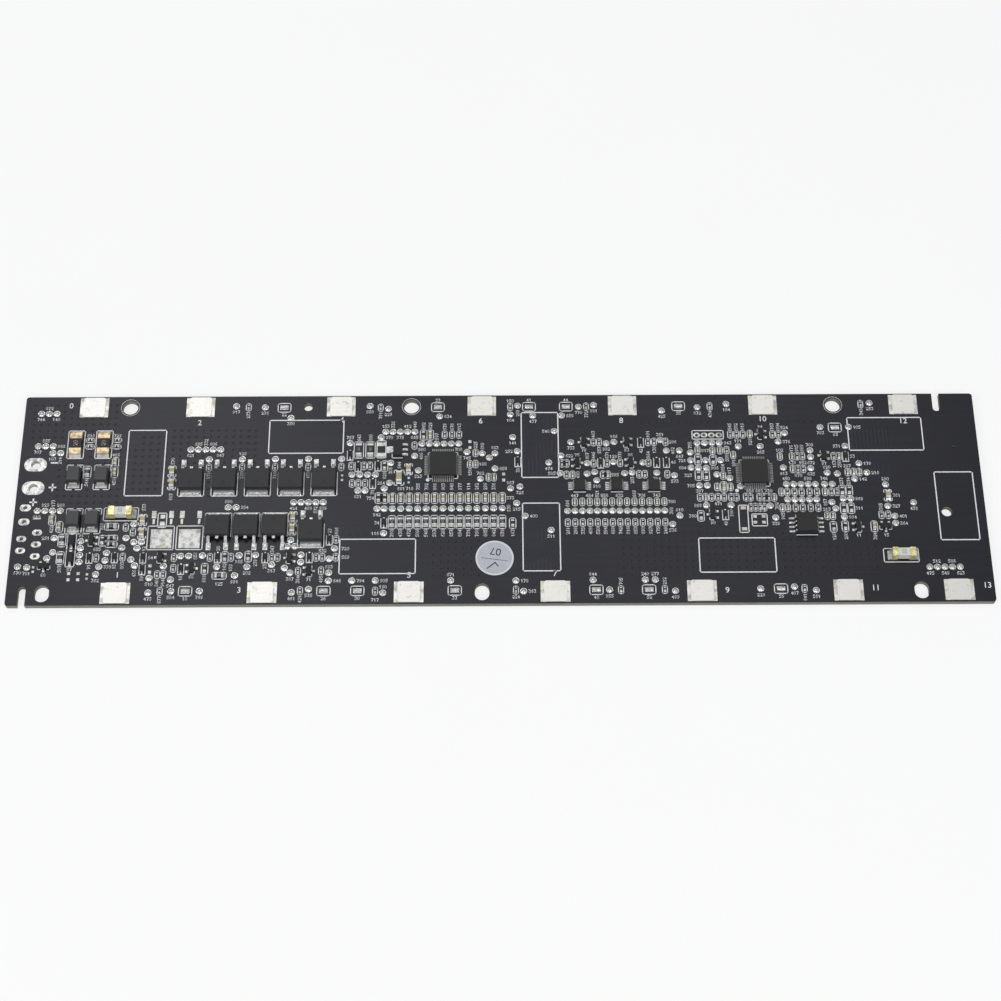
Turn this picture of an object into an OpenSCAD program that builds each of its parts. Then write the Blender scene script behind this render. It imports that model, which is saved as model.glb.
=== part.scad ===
// Battery management board for a pack of thirteen cell groups in series.
// Units are millimetres. The origin is the centre of the board's underside, +Z up,
// +X along the board and +Y towards the edge that carries the even-numbered cell tabs.

/* [Board] */
// Depth of the board, across its two rows of tabs
board_d = 62; // [62:0.5:70]
// Thickness of the laminate
board_t = 1.6; // [1.2:0.2:2.4]
// Radius of the board's corners
corner_r = 0.8; // [0.4:0.1:1.5]
// Height of a tinned land above the board
land_t = 0.1; // [0.05:0.01:0.15]

/* [Cell tabs] */
// Distance between neighbouring tabs of one row, two cells wide
tab_pitch = 38.1; // [38:0.1:42]
// Shorter distance to the tab at the end of each row
end_pitch = 28.8; // [28.5:0.1:32]
// Board beyond the centre of the first tab, at the wire end
wire_end = 18.65; // [18.5:0.05:24]
// Board beyond the centre of the last tab, at the plain end
plain_end = 9.3; // [9:0.1:14]
// Side of the square nickel plate of a tab
tab_w = 5.9; // [5:0.1:6.2]
// Thickness of the nickel plate
tab_t = 0.3; // [0.2:0.05:0.5]
// Radius of the plate's corners
tab_r = 0.7; // [0.3:0.1:1]
// Solder land that shows on each side of a plate
tab_solder = 0.9; // [0.6:0.05:1.2]
// Distance from a tab to the edge of the board
tab_edge = 0.45; // [0.3:0.05:0.5]

/* [Holes and slots] */
// Diameter of the three round mounting holes
hole_d = 4.2; // [3.2:0.1:4.3]
// Width of the three oblong mounting holes
oblong_w = 3.8; // [3.2:0.1:4]
// Length of the oblong mounting holes, across the board
oblong_l = 4.8; // [4.2:0.1:5]
// Distance from a mounting hole's centre to the edge of the board
hole_edge = 3.4; // [3.2:0.1:3.6]
// Diameter of the small tooling hole
tooling_d = 2.4; // [1.6:0.1:2.6]
// Diameter of the second tooling hole, near the plain end
tooling2_d = 2.8; // [1.6:0.1:3]
// Width of the two slots that are open to an edge
slot_w = 2; // [1.6:0.1:2.2]
// Depth of the two edge slots
slot_l = 5.4; // [4:0.1:6]

/* [Wire holes] */
// Diameter of the two power wire holes
power_d = 2.5; // [2:0.1:2.8]
// Diameter of the two charge wire holes
charge_d = 1.2; // [0.9:0.1:1.3]
// Diameter of the five signal wire holes
signal_d = 1; // [0.7:0.1:1.1]
// Diameter of the four header holes
header_d = 0.9; // [0.7:0.05:1]
// Thickness of the copper and solder that line a plated hole
plating = 0.16; // [0.16:0.01:0.2]

/* [Test pads] */
// Diameter of a round test pad
pad_d = 1.8; // [1.2:0.05:1.85]
// Diameter of the solder bead on a test pad
bead_d = 1.5; // [0.8:0.05:1.55]
// Height of the solder bead above its land
bead_h = 0.35; // [0.15:0.05:0.5]
// Grid that the pads, the header and the chip rows follow
grid = 2; // [2:0.01:2.1]

/* [Power transistors] */
// Width of a transistor's body
mosfet_w = 6.6; // [6.4:0.05:6.8]
// Length of a transistor's body
mosfet_l = 6.1; // [6:0.05:6.2]
// Height of a transistor's body
mosfet_h = 2.3; // [2.2:0.05:2.4]
// Space between neighbouring transistors of the upper row
mosfet_gap = 2.25; // [2.2:0.05:2.4]
// Space between neighbouring transistors of the lower row
mosfet_gap2 = 0.85; // [0.6:0.05:0.9]
// Width of the heat tab under the body
heat_tab_w = 5.3; // [5:0.05:5.4]
// Thickness of the heat tab and of the leads
heat_tab_t = 0.5; // [0.4:0.05:0.6]
// Heat tab in front of the body
heat_tab_out = 1; // [0.9:0.05:1.2]
// Distance between the two long leads
mosfet_pitch = 4.58; // [4.5:0.02:4.7]

/* [Quad packages] */
// Side of a quad package's body
quad_w = 7; // [6.9:0.05:7.1]
// Height of a quad package's body
quad_h = 1.4; // [1.3:0.05:1.5]
// Leads on each side of a quad package
quad_n = 12; // [8:1:12]
// Distance between a quad package's leads
quad_pitch = 0.5; // [0.45:0.01:0.5]
// Distance over the tips of opposite leads
quad_span = 9; // [8.8:0.05:9.2]

/* [Chips] */
// Length of a small chip resistor or capacitor
chip_l = 1; // [0.9:0.05:1.1]
// Width of a small chip
chip_w = 0.5; // [0.4:0.05:0.6]
// Length of a middle-size chip
chip2_l = 1.6; // [1.5:0.05:1.7]
// Length of a balance resistor
balance_l = 2; // [1.9:0.05:2.1]
// Width of a balance resistor
balance_w = 1.25; // [1.1:0.05:1.35]
// Distance between balance resistors
balance_pitch = 2.24; // [2.2:0.02:2.26]
// Length of a current shunt
shunt_l = 6.4; // [6.2:0.1:6.5]
// Width of a current shunt
shunt_w = 3.2; // [3:0.1:3.3]
// Length of a fuse
fuse_l = 6.1; // [6:0.05:6.2]
// Width and height of a fuse's end caps
fuse_w = 2.5; // [2.3:0.05:2.6]

/* [Sticker] */
// Diameter of the inspection sticker
sticker_d = 10; // [8:0.5:11]
// Thickness of the sticker
sticker_t = 0.1; // [0.05:0.01:0.2]

/* [Hidden] */
$fn = 48;
eps = 0.01;                 // overshoot of a cutter beyond the face that it cuts
lead_w = 0.22;              // width of a quad package's lead
lead_t = 0.15;              // thickness of a fine lead
standoff = 0.1;             // air under a moulded body
draft = 0.06;               // slope of a fine package's side, as a share of its height
rectifier_draft = 0.18;     // slope of a rectifier's side
mosfet_draft = 0.3;         // slope of a power transistor's side
mosfet_cut = 0.5;           // cut corners of its body, at the heat tab
sticker_edge = 13.05;       // from the sticker's centre to the board's lower edge
fillet_h = 0.6;             // solder fillet's height, as a share of the chip's height
board_w = wire_end + 2 * end_pitch + 4.5 * tab_pitch + plain_end;
left = -board_w / 2;
right = board_w / 2;
top_y = board_d / 2;
tab_land_w = tab_w + 2 * tab_solder;
tab_y = top_y - tab_edge - tab_w / 2;
first_tab_x = left + wire_end;
hole_y = top_y - hole_edge;
mid_tab_x = first_tab_x + end_pitch + 2 * tab_pitch;

// ---- Places -------------------------------------------------------------------------
// A place is [x, y, turn]. Each cluster of parts keeps its distance from one anchor:
// the wire end, a numbered tab or the plain end.

// Centre of tab number i: even tabs stand on the upper edge, odd ones on the lower edge.
// Both rows keep tab_pitch, apart from tab 0 and tab 13 at the ends.
function tab_x(i) = i == 0 ? first_tab_x
    : i == 13 ? mid_tab_x + 3 * tab_pitch - tab_pitch / 2 + end_pitch
    : mid_tab_x + (i - 6) * tab_pitch / 2;
function tab_side(i) = i % 2 == 0 ? 1 : -1;

function at_x(x0, list) = [for (p = list) [x0 + p[0], p[1], len(p) > 2 ? p[2] : 0]];
function row(x, y, n, pitch, turn = 0) = [for (i = [0:n - 1]) [x + i * pitch, y, turn]];
function column(x, y, n, pitch, turn = 0) = [for (i = [0:n - 1]) [x, y - i * pitch, turn]];

wire_x = left;              // anchor of the wire end
power_x = tab_x(2);         // anchor of the power transistors
control_x = tab_x(6);       // anchor of the controller
balance_x = tab_x(8);       // anchor of the balancers
monitor_x = tab_x(10);      // anchor of the monitor
plain_x = right;            // anchor of the plain end

round_holes = [for (i = [2, 4, 10]) [tab_x(i) + (i == 2 ? -1 : 1) * tab_pitch / 2, hole_y]];
oblong_holes = [for (i = [-3, 0, 3]) [mid_tab_x + i * tab_pitch, -hole_y]];

mosfet_step = mosfet_w + mosfet_gap;
mosfet_step2 = mosfet_w + mosfet_gap2;
upper_mosfets = [for (i = [-2:2]) [power_x + 16.5 + i * mosfet_step, 4.95, 0]];
lower_mosfets = [for (i = [-1:1]) [power_x + 14.1 + i * mosfet_step2, -8.8, 180]];
turned_mosfet = [power_x + 31.2, -10.35, 0];
mosfets = concat(upper_mosfets, lower_mosfets, [turned_mosfet]);
open_mosfets = [[power_x - 8.1, -10.35, 0], [power_x - 0.7, -10.35, 0]];

controller = [[control_x - 10.4, 9.5, 0]];
monitor = [[monitor_x - 3.4, 6.8, 0]];
memory = [[monitor_x + 9.4, -8.7, 0]];
balancers = [for (i = [-1:1]) [balance_x - 2.2 + i * 9.9, 3.1, 0]];
regulator = [[control_x - 22.55, 14.3, 0]];

// Three-lead transistors: at turn 0 the two leads point right, at 180 they point left
transistors = concat(
    at_x(wire_x, [[9.2, -19.9, 90], [21.1, -12.4]]),
    at_x(power_x, [[-8, -17.4], [0.4, -20.6, 180], [25.8, -17.7], [31, -21.5, 180]]),
    at_x(balance_x, [[-10.7, 16.4], [-12.6, 10.1, 180], [0.8, 16.4], [1.7, 10.1, 180]]),
    at_x(monitor_x, [[-15.2, -5.5], [-1.1, 18.6], [15.4, 12], [23, -9.3, 180]]),
    at_x(plain_x, [[-26.9, -9.3, 90]]));

rectifiers = concat(
    at_x(wire_x, [for (x = [15, 22.35]) [x, 6.4]]),
    at_x(wire_x, [for (x = [15.95, 20.9]) [x, -6.65]]));
clamps = at_x(wire_x, column(15.9, -12.6, 2, 4.9));
diodes = concat(
    at_x(wire_x, [[20.9, -17.4], [27.5, -17.3]]),
    at_x(power_x, [[-12.5, -17.4], [-12.5, -20.8], [-2.4, -20.7], [7, -17.4], [19.4, -17.5],
        [31, -17.5], [36.1, -12.4], [40.9, 12.8], [43.1, 9.3]]),
    at_x(control_x, [[-29.1, 4.2], [-25.9, -7.5], [9.6, 10.6], [-27.8, 9.5]]),
    at_x(balance_x, [[-6.3, 10.1], [4.6, 16.3], [8.7, 10.2], [11.3, 10.2]]),
    at_x(monitor_x, [[-11.8, -5.5], [21.3, 11.8]]));

shunts = at_x(wire_x, [[14.6, 16.3], [22.1, 16.3]]);
fuses = concat(at_x(wire_x, [[28.3, -4.7, 90]]), at_x(plain_x, [[-23.1, -17.7, 90]]));

small_resistors = concat(
    at_x(wire_x, [[18.4, 17.6, 90], [18.4, 15.6, 90], [25.6, 17.6, 90], [25.6, 15.6, 90],
        [29.8, -8.5], [22.7, -17.4], [29.6, -17.2]]),
    at_x(power_x, [[-15.7, -9.9], [-4.4, -17.4], [-4.4, -20.5], [-8.5, -22.3], [-6.9, -22.3],
        [-7.5, -27.1], [5, -17.4], [10.5, -17.4], [13, 27.6], [41.3, 9.5], [44.7, 9.5],
        [46.3, 9.5], [48.8, 27.3], [28.2, -21.5], [34.2, -21.4], [41.6, 4.2], [43.3, 4.2],
        [45.1, 4.2], [21.2, -17.5], [22.7, -17.5], [32.8, -17.5], [34.4, -17.5],
        [37.9, -12.3], [37.9, -17.5], [28.9, -27.1]]),
    at_x(power_x, [for (i = [0:4]) [16.5 + (i - 1.5) * mosfet_step, 9.2]]),
    at_x(control_x, [[-18.1, 15.6], [-10, 18.9], [-8, 18.9], [-6.1, 18.9], [-27.8, -27.3],
        [7.7, 27.4], [8.8, -27.2]]),
    at_x(balance_x, [[-8.1, 16.4], [-6.6, 16.4], [-16.7, 10], [-15.4, 10], [-8.2, 10],
        [-4.6, 10], [-15.5, 6.5], [-5.8, 6.5], [-9.8, 27.4], [-1.1, 10.1], [6.6, 16.4],
        [8.2, 16.4], [11.3, 16.4], [6.5, 10.1], [3.9, 6.6], [5.4, 6.6], [11.4, 6.6],
        [-2, -27.2], [9.4, -27.2]]),
    at_x(balance_x, row(-15.45, -7.7, 14, grid - 0.02)),
    at_x(monitor_x, [[-14.4, 27.3], [-9.3, 18.6], [-7.6, 18.6], [-5.9, 18.6], [2.1, 18.6],
        [3.7, 18.6], [-10.5, 13.8], [8.3, 11.9], [9.7, 11.9], [8.3, 8], [9.7, 8],
        [18.1, 11.8], [5, 1.1], [6.9, 1.1], [8.8, 1.1], [10.9, 1.1], [12.9, 1.1],
        [16.7, 1.1], [18.2, 1.1], [6.9, -3.6], [8.8, -3.6], [10.9, -3.6], [12.9, -3.6],
        [-4.9, -3.4], [-3.7, -3.4], [-2.5, -3.4], [-1.4, -3.4], [7.6, -27.1], [26.6, 27.8]]),
    at_x(monitor_x, [for (x = [-18.3, -15.2, -13.5, -11.9, -10, -8.6, -6.1, -4.9, -2.5, -1.3, 0])
        [x, -0.4]]),
    at_x(plain_x, [[-27.7, -5.8], [-25.9, -5.8]]));

middle_resistors = concat(
    at_x(wire_x, [[26.3, -11.7, 90], [26.3, -13.5, 90], [23.9, -12.4]]),
    at_x(power_x, [[8.9, -17.3], [15, -17.2], [3.8, -20.7]]),
    at_x(control_x, [[-26, 9.4], [-27.5, -0.2], [-25.8, -0.2], [-15.7, 18.8], [8.1, -7.8]]),
    at_x(monitor_x, [[-18.3, 10.9], [-14.3, 10.8], [-18.4, 6.2], [-16.3, 6.2],
        [-18.3, -5.9], [16.5, -9.3], [19.6, -9.1], [19.6, -3.8], [21.6, -3.8], [19.6, 1.5], [21.5, 1.5]]));

large_resistors = concat(
    at_x(wire_x, [[18.3, 7.9], [26, -8.3, 90], [13.3, -12.3], [13.3, -17.4]]),
    at_x(power_x, [[7.7, -22.7, 90]]));
long_resistors = at_x(control_x, [[-33, 14.3], [-29.9, 14.3]]);
balance_resistors = at_x(control_x, row(-23.77, -7.4, 14, balance_pitch));

small_capacitors = concat(
    at_x(control_x, [[-1.7, 13.3], [-3.2, 9.8], [-1.7, 9.9], [1.8, 5.9], [3.2, 5.9]]),
    at_x(balance_x, [[-13.9, 6.5], [-4.5, 6.5]]),
    at_x(balance_x, row(-13.47, -1.6, 13, grid - 0.02)),
    at_x(monitor_x, [[-4, 18.7], [-18.3, 13.9], [-14.3, 13.7], [-12.3, 13.8], [-8.8, 12.3],
        [-11.8, 6.1], [-13.6, 2.7], [-10, 2.7], [3.7, 11.8], [6.9, 11.8], [6.9, 8],
        [19.5, 11.8], [21.5, 7], [23.1, 7], [24.6, 7], [3.4, 1.1], [15, 1.1], [3.4, -3.6], [4.9, -3.6],
        [15.1, -6], [16.6, -6], [-16.8, -0.4], [1.4, -0.5]]));
middle_capacitors = concat(
    at_x(wire_x, [[25.6, 10.8], [25.6, 7.8], [10.2, -6.3], [12.3, -8.3]]),
    at_x(control_x, concat([[-13.9, 18.8]], row(-23.75, -0.3, 14, balance_pitch))),
    at_x(monitor_x, [[-11.8, 2.7]]),
    at_x(plain_x, [[-29.9, -9.2]]));
large_capacitors = concat(
    at_x(power_x, [[-6.5, 8], [-6.4, 4.2], [-13.3, -6.4], [-13.3, -10.3], [26.3, -5.8],
        [26.2, -9.3]]),
    at_x(control_x, [[-19.6, 8.4]]),
    at_x(plain_x, [[-25.5, 0]]));
long_capacitors = at_x(control_x, [[-22.1, 5.9]]);

// Sizes of two-terminal parts: length, width, height, length of a terminal
small_chip = [chip_l, chip_w, 0.35, 0.25];
small_cap = [chip_l, chip_w, 0.5, 0.25];
middle_chip = [chip2_l, 0.8, 0.45, 0.35];
middle_cap = [chip2_l, 0.8, 0.8, 0.35];
large_chip = [balance_l, balance_w, 0.5, 0.4];
large_cap = [balance_l, balance_w, 1, 0.45];
long_chip = [3.2, 1.6, 0.55, 0.5];
long_cap = [3, 1.5, 1.1, 0.5];
shunt_chip = [shunt_l, shunt_w, 0.9, 1.75];
fuse_chip = [fuse_l, fuse_w, fuse_w, 1.5];

resistor_groups = [[small_resistors, small_chip], [middle_resistors, middle_chip],
    [large_resistors, large_chip], [long_resistors, long_chip]];
capacitor_groups = [[small_capacitors, small_cap], [middle_capacitors, middle_cap],
    [large_capacitors, large_cap], [long_capacitors, long_cap]];

test_places = concat(
    at_x(wire_x, concat(row(4.5, 25.8, 3, grid + 0.05), row(4.5, 15.8, 3, grid),
        row(8.6, 13.7, 2, grid + 0.1), row(6, -3.6, 4, grid + 0.03),
        column(18.3, -12.6, 4, grid), [[11.2, -11.6], [11.2, -15.8], [9.8, -17.5],
        [2.4, -19.9], [4.8, -20.1], [25.3, -16], [25.1, -18.2], [30.1, -11.7],
        [29.2, -14.5], [23.6, -20], [22.9, -22.2], [31.9, -7.6], [32.2, -12.9],
        [34.2, -12.9], [33.2, -14.7], [31.8, -18], [32.9, -19.7]])),
    at_x(power_x, concat(row(-1.9, 14.6, 5, grid), row(26.3, -1.4, 5, grid - 0.05),
        [for (i = [0:4]) [16.5 + (i - 1.5) * mosfet_step, 11.6]],
        [[9.7, 27.9], [17.5, 27.5], [24.6, 24.2], [45.9, 27.8], [9, -2.8], [11.1, -2.8],
        [-2.7, -17], [-0.6, -17], [3, -16.9], [-7, -19.9], [12.6, -16.9], [6.9, -20.2],
        [14.8, -20.2], [11.7, -22.7], [-10.5, -23.3], [-4.9, -23.8], [-10.5, -27.5],
        [-4.6, -27.1], [2.8, -27.1], [40.8, 16.4], [25.9, -12.5], [25.1, -14.3],
        [27.1, -14.3], [37.5, -15], [16.9, -16.8], [28.8, -16.8], [28.8, -18.9],
        [36.2, -18], [21.2, -19.6], [24.6, -20.6], [26.1, -22], [36.2, -22],
        [36.2, -24.3], [26.7, -27.6], [31.1, -26.7], [42.3, -24.3]],
        row(41.5, 6.8, 4, grid + 0.1), row(43.2, 2, 2, grid - 0.1))),
    at_x(control_x, concat(row(-25.9, 19.8, 5, grid - 0.04), row(-16.1, 16.1, 6, grid - 0.03),
        row(-23.75, -3.4, 14, balance_pitch), row(-27.8, -3.4, 2, 1.9),
        [[-25.3, 26.9], [-11.4, 24.5], [-27.1, 18.1], [-18, 12.4], [-17, 8], [-4, 13.5],
        [0.1, 13.1], [2, 11.8], [3.5, 13.1], [3.5, 8.5], [-0.4, 5.4], [-24.4, 10.3],
        [-24.6, 4.3], [-26, 2.6], [-27.8, -24.3], [-25.9, -10.6], [-25.8, -27.8],
        [-8.2, -24.4], [9.7, 27.7], [7.7, 25], [13.8, 24.6], [8.3, 18], [9.5, 13.7],
        [19.5, 19.8], [17.9, 10.2], [10.1, 3], [7.6, 2.5], [9.2, -1.9], [11.4, -5.7],
        [18.2, -9.9], [8.8, -24.5], [10.8, -27.5]])),
    at_x(balance_x, concat(row(-15.45, -4.3, 14, grid - 0.02),
        [[-16.5, 24.6], [-11.9, 27.3], [-7.8, 27.8], [-16.9, 12.3], [-17.2, 7], [-14.2, 16.4],
        [-4.7, 16], [-2.6, 16.4], [-9.9, 10], [-2.9, 10.3], [-10, 6.8], [-8, 7.3],
        [-7.5, 4.8], [-9.2, -24.4], [-5, -27.2], [0, 6.9], [2, 7.1], [5, 10.1], [8.6, 7],
        [13.3, 6.2], [10.6, 26], [9.9, 16.9], [11.4, 13.7], [14.9, 13.7], [14.2, -5.8],
        [12.2, -8.3], [4.4, -24.4], [7, -24.4], [12.1, -27.6]])),
    at_x(monitor_x, concat(row(-18.35, 16, 4, grid), row(4.9, -1.2, 5, 1.93),
        row(4.9, 3.4, 5, 1.93),
        [[-17.8, 27], [-9.9, 28], [-20.3, 13.1], [-20.3, 10.7], [-20.3, 8.5], [-16.3, 10.7],
        [-12.3, 10.7], [-18.3, 8.4], [-16.2, 8.4], [-13.5, 6.4], [-10.1, 5.3], [-18.3, 3.1],
        [-16.2, 3.1], [-16.7, -2.8], [-10.2, -2.8], [5.4, 18.9], [3.5, 16.3], [-7.3, 14.9],
        [-1.4, 14.9], [11.9, 13.6], [11.9, 11.6], [4.4, 8.4], [11.7, 8.2], [15.1, 20.7],
        [22.8, 20.7], [21.4, 14.9], [16, 6.8], [18.7, 6.5], [15, 3.4], [17.1, 3.4],
        [23.2, 4.9], [-7.4, 2.8], [16.6, -2], [19.7, -1], [21.7, -1], [0.2, -3], [1.4, -6.5],
        [17.5, -3.9], [19.6, -6.4], [-3.8, -27.1], [5, -26.6], [10.6, -27.6], [29, 28.1],
        [24.7, 9.6], [26.6, 6.8], [31.3, 3.2]])),
    at_x(plain_x, concat(row(-16.4, -21.1, 5, grid - 0.02),
        [[-25.8, -3.2], [-24.2, -6.2], [-24.2, -8.3], [-18.9, -2.2]])));

jumpers = concat(
    at_x(power_x, [[-0.9, -27.1], [35, -27.2], [43.8, -27.2], [22.7, 27.4]]),
    at_x(control_x, [[-11.9, 27.4], [12.8, 27.4], [-7.1, -27.2]]),
    at_x(balance_x, [[-15.3, 27.4], [15.2, 27.4], [-8.4, -27.2], [5.3, -27.2]]),
    at_x(monitor_x, [[1.5, -27.1], [19.1, 20.6]]));

power_holes = at_x(wire_x, column(4.3, 10.2, 2, 7));
charge_holes = at_x(wire_x, column(2.8, -2.7, 2, 4.15));
signal_holes = at_x(wire_x, concat(column(2.6, -11.8, 2, 3.45), column(6.6, -10, 3, 3.45)));
header_holes = at_x(monitor_x, row(-18.35, 18.4, 4, grid));

// ---- Shared shapes ------------------------------------------------------------------

// Puts its children on the board's upper face at each place of a list
module on_board(places, up = 0) {
    for (p = places)
        translate([p[0], p[1], board_t + up])
            rotate([0, 0, len(p) > 2 ? p[2] : 0])
                children();
}

// A box centred on x = y = 0 that stands on z = 0
module block(size) {
    translate([-size[0] / 2, -size[1] / 2, 0]) cube(size);
}

// A flat rectangle with round corners
module round_rect(w, d, r) {
    square([w - 2 * r, d], center = true);
    square([w, d - 2 * r], center = true);
    for (x = [-1, 1], y = [-1, 1])
        translate([x * (w / 2 - r), y * (d / 2 - r)]) circle(r);
}

// A flat oblong along X, given over its round ends
module oblong(l, w) {
    square([l - w, w], center = true);
    for (x = [-1, 1]) translate([x * (l - w) / 2, 0]) circle(w / 2);
}

function unit(v) = v / norm(v);
function normal(v) = [-v[1], v[0]];

// Rounds each inner corner of a path by a short curve that starts a distance k from it
function eased(path, k, n = 2) = concat([path[0]],
    [for (i = [1:len(path) - 2], j = [0:n])
        let (b = path[i], a = b + k * unit(path[i - 1] - b), c = b + k * unit(path[i + 1] - b),
            t = j / n)
        (1 - t) * (1 - t) * a + 2 * t * (1 - t) * b + t * t * c],
    [path[len(path) - 1]]);

// The outline of a strip of metal of thickness t that follows a path
function strip(path, t) =
    let (last = len(path) - 1,
        side = [for (i = [0:last])
            let (u = unit(path[min(i + 1, last)] - path[min(i, last - 1)]),
                v = unit(path[max(i, 1)] - path[max(i - 1, 0)]), m = unit(u + v))
            normal(m) * (t / 2) / (m * u)])
    concat([for (i = [0:last]) path[i] + side[i]],
        [for (i = [0:last]) path[last - i] - side[last - i]]);

// A bent strip: its path lies in the plane of Y and Z, and its width along X
module bent_strip(path, t, w) {
    rotate([90, 0, 90])
        translate([0, 0, -w / 2])
            linear_extrude(w) polygon(strip(path, t));
}

// A moulded body that stands on z = 0. Its sides slope both ways from a flat band, where
// the leads leave it, at height band and as tall as band_t
module moulded(w, l, h, band, band_t, slope = draft) {
    low = (band - band_t / 2) * slope;
    high = (h - band - band_t / 2) * slope;
    profile = function(s) [[-s / 2 + low, 0], [s / 2 - low, 0], [s / 2, band - band_t / 2],
        [s / 2, band + band_t / 2], [s / 2 - high, h], [-s / 2 + high, h],
        [-s / 2, band + band_t / 2], [-s / 2, band - band_t / 2]];
    intersection() {
        rotate([90, 0, 0])
            translate([0, 0, -l / 2]) linear_extrude(l) polygon(profile(w));
        rotate([90, 0, 90])
            translate([0, 0, -w / 2]) linear_extrude(w) polygon(profile(l));
    }
}

// A gull-wing lead that leaves a body's face at y = face and height band, and stands on
// z = 0 with its tip at y = tip
module gull_lead(face, tip, band, t, w, foot, shoulder = 0.1) {
    knee = face + shoulder + t / 2;
    bent_strip(eased([[face, band], [knee, band], [tip - foot, t / 2], [tip, t / 2]],
        t * 0.6), t, w);
}

// ---- Two-terminal chips -------------------------------------------------------------

module chip_body(s) {
    block([s[1] - 0.04, s[0] - 2 * s[3], s[2] - 0.02]);
}

module chip_terminals(s) {
    for (side = [-1, 1])
        translate([0, side * (s[0] - s[3]) / 2, 0]) block([s[1], s[3], s[2]]);
}

// A land at each end, which runs out from under the terminal and carries a hollow fillet
// of solder up the terminal's end face
module chip_land_pair(s, reach = 0) {
    out = s[0] / 2 + (reach > 0 ? reach : 0.15 + 0.22 * s[1]);
    rise = s[2] * fillet_h;
    for (side = [-1, 1])
        rotate([90, 0, side * 90])
            translate([0, 0, -s[1] / 2])
                linear_extrude(s[1])
                    polygon([[s[0] / 2 - s[3], 0], [out, 0], [out, land_t],
                        [s[0] / 2 + 0.06, land_t + rise * 0.5], [s[0] / 2, land_t + rise],
                        [s[0] / 2, land_t], [s[0] / 2 - s[3], land_t]]);
}

// ---- Board and lands ----------------------------------------------------------------

module board_outline() {
    difference() {
        round_rect(board_w, board_d, corner_r);
        for (p = round_holes) translate([p[0], p[1]]) circle(hole_d / 2);
        for (p = oblong_holes)
            translate([p[0], p[1]]) rotate(90) oblong(oblong_l, oblong_w);
        translate([(tab_x(2) + tab_x(4)) / 2 + 10.1, hole_y]) circle(tooling_d / 2);
        translate([right - 10.3, -4.9]) circle(tooling2_d / 2);
        translate([right - 6.5, 14.5]) circle(0.35);
        edge_slot(left + 4.15, -1);
        edge_slot(right - 10, 1);
    }
}

// A slot open to the upper edge (side 1) or the lower edge (side -1)
module edge_slot(x, side) {
    translate([x, side * (top_y - slot_l + slot_w / 2)]) circle(slot_w / 2);
    translate([x - slot_w / 2, side > 0 ? top_y - slot_l + slot_w / 2 : -top_y - eps])
        square([slot_w, slot_l - slot_w / 2 + eps]);
}

module board() {
    color([0.13, 0.13, 0.16])
        difference() {
            linear_extrude(board_t) board_outline();
            for (p = power_holes) wire_hole_cut(p, power_d, 4, 6);
            for (p = charge_holes) wire_hole_cut(p, charge_d, 2, 3);
            for (p = signal_holes) wire_hole_cut(p, signal_d, 1.7, 2.6);
            for (p = header_holes) wire_hole_cut(p, header_d, 1.45, 1.8);
        }
}

// Room for a plated hole: its bore, and a pocket that keeps the lower land flush
module wire_hole_cut(p, d, w, l) {
    translate([p[0], p[1], -eps]) cylinder(d = d + 2 * plating, h = board_t + 2 * eps);
    translate([p[0], p[1], -eps]) linear_extrude(land_t + eps) oblong(l, w);
}

// One piece of copper: the upper land, the lining of the hole and the lower land
module plated_hole(p, d, w, l) {
    translate([p[0], p[1], 0])
        difference() {
            union() {
                linear_extrude(land_t) oblong(l, w);
                cylinder(d = d + 2 * plating, h = board_t + land_t);
                translate([0, 0, board_t]) linear_extrude(land_t) oblong(l, w);
            }
            translate([0, 0, -eps]) cylinder(d = d, h = board_t + land_t + 2 * eps);
        }
}

module power_wire_lands() {
    color([0.87, 0.87, 0.86]) for (p = power_holes) plated_hole(p, power_d, 4, 6);
}

module signal_wire_lands() {
    color([0.87, 0.87, 0.86]) {
        for (p = charge_holes) plated_hole(p, charge_d, 2, 3);
        for (p = signal_holes) plated_hole(p, signal_d, 1.7, 2.6);
    }
}

module header_lands() {
    color([0.87, 0.87, 0.86])
        for (p = header_holes) plated_hole(p, header_d, 1.45, 1.8);
}

module at_tabs(up) {
    for (i = [0:13])
        translate([tab_x(i), tab_side(i) * tab_y, board_t + up]) children();
}

module cell_tab_lands() {
    color([0.85, 0.85, 0.78]) at_tabs(0) block([tab_land_w, tab_w, land_t]);
}

module cell_tabs() {
    color([0.88, 0.87, 0.84])
        at_tabs(land_t) linear_extrude(tab_t) round_rect(tab_w, tab_w, tab_r);
}

// A round land with a low bead of solder
module test_pads() {
    bead_r = (bead_d * bead_d / 4 + bead_h * bead_h) / (2 * bead_h);
    color([0.8, 0.8, 0.8])
        on_board(test_places) {
            cylinder(d = pad_d, h = land_t);
            translate([0, 0, land_t])
                intersection() {
                    translate([0, 0, bead_h - bead_r]) sphere(bead_r, $fn = 40);
                    cylinder(d = bead_d + 1, h = bead_h + 1);
                }
        }
}

// A pair of lands joined by a half-round bead of solder
module jumper_beads() {
    bead_w = 1.1;
    bead_up = 0.4;
    bead_r = (bead_w * bead_w / 4 + bead_up * bead_up) / (2 * bead_up);
    color([0.85, 0.85, 0.85])
        on_board(jumpers) {
            block([2.2, 1.3, land_t]);
            intersection() {
                translate([-1, 0, land_t + bead_up - bead_r])
                    rotate([0, 90, 0]) cylinder(r = bead_r, h = 2);
                translate([0, 0, land_t]) block([3, 2, 1]);
            }
        }
}

// ---- Power transistors --------------------------------------------------------------
// The leads point to +Y and the heat tab to -Y; the body is centred on the origin

mosfet_band = 1.25;         // height of the leads where they leave the body
mosfet_lead_w = 0.78;
mosfet_reach = 2.95;        // leads beyond the body
drain_land = [5.6, 5.5];
gate_land = [1.2, 2.1];
drain_front = -mosfet_l / 2 - heat_tab_out - 0.3;

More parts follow.
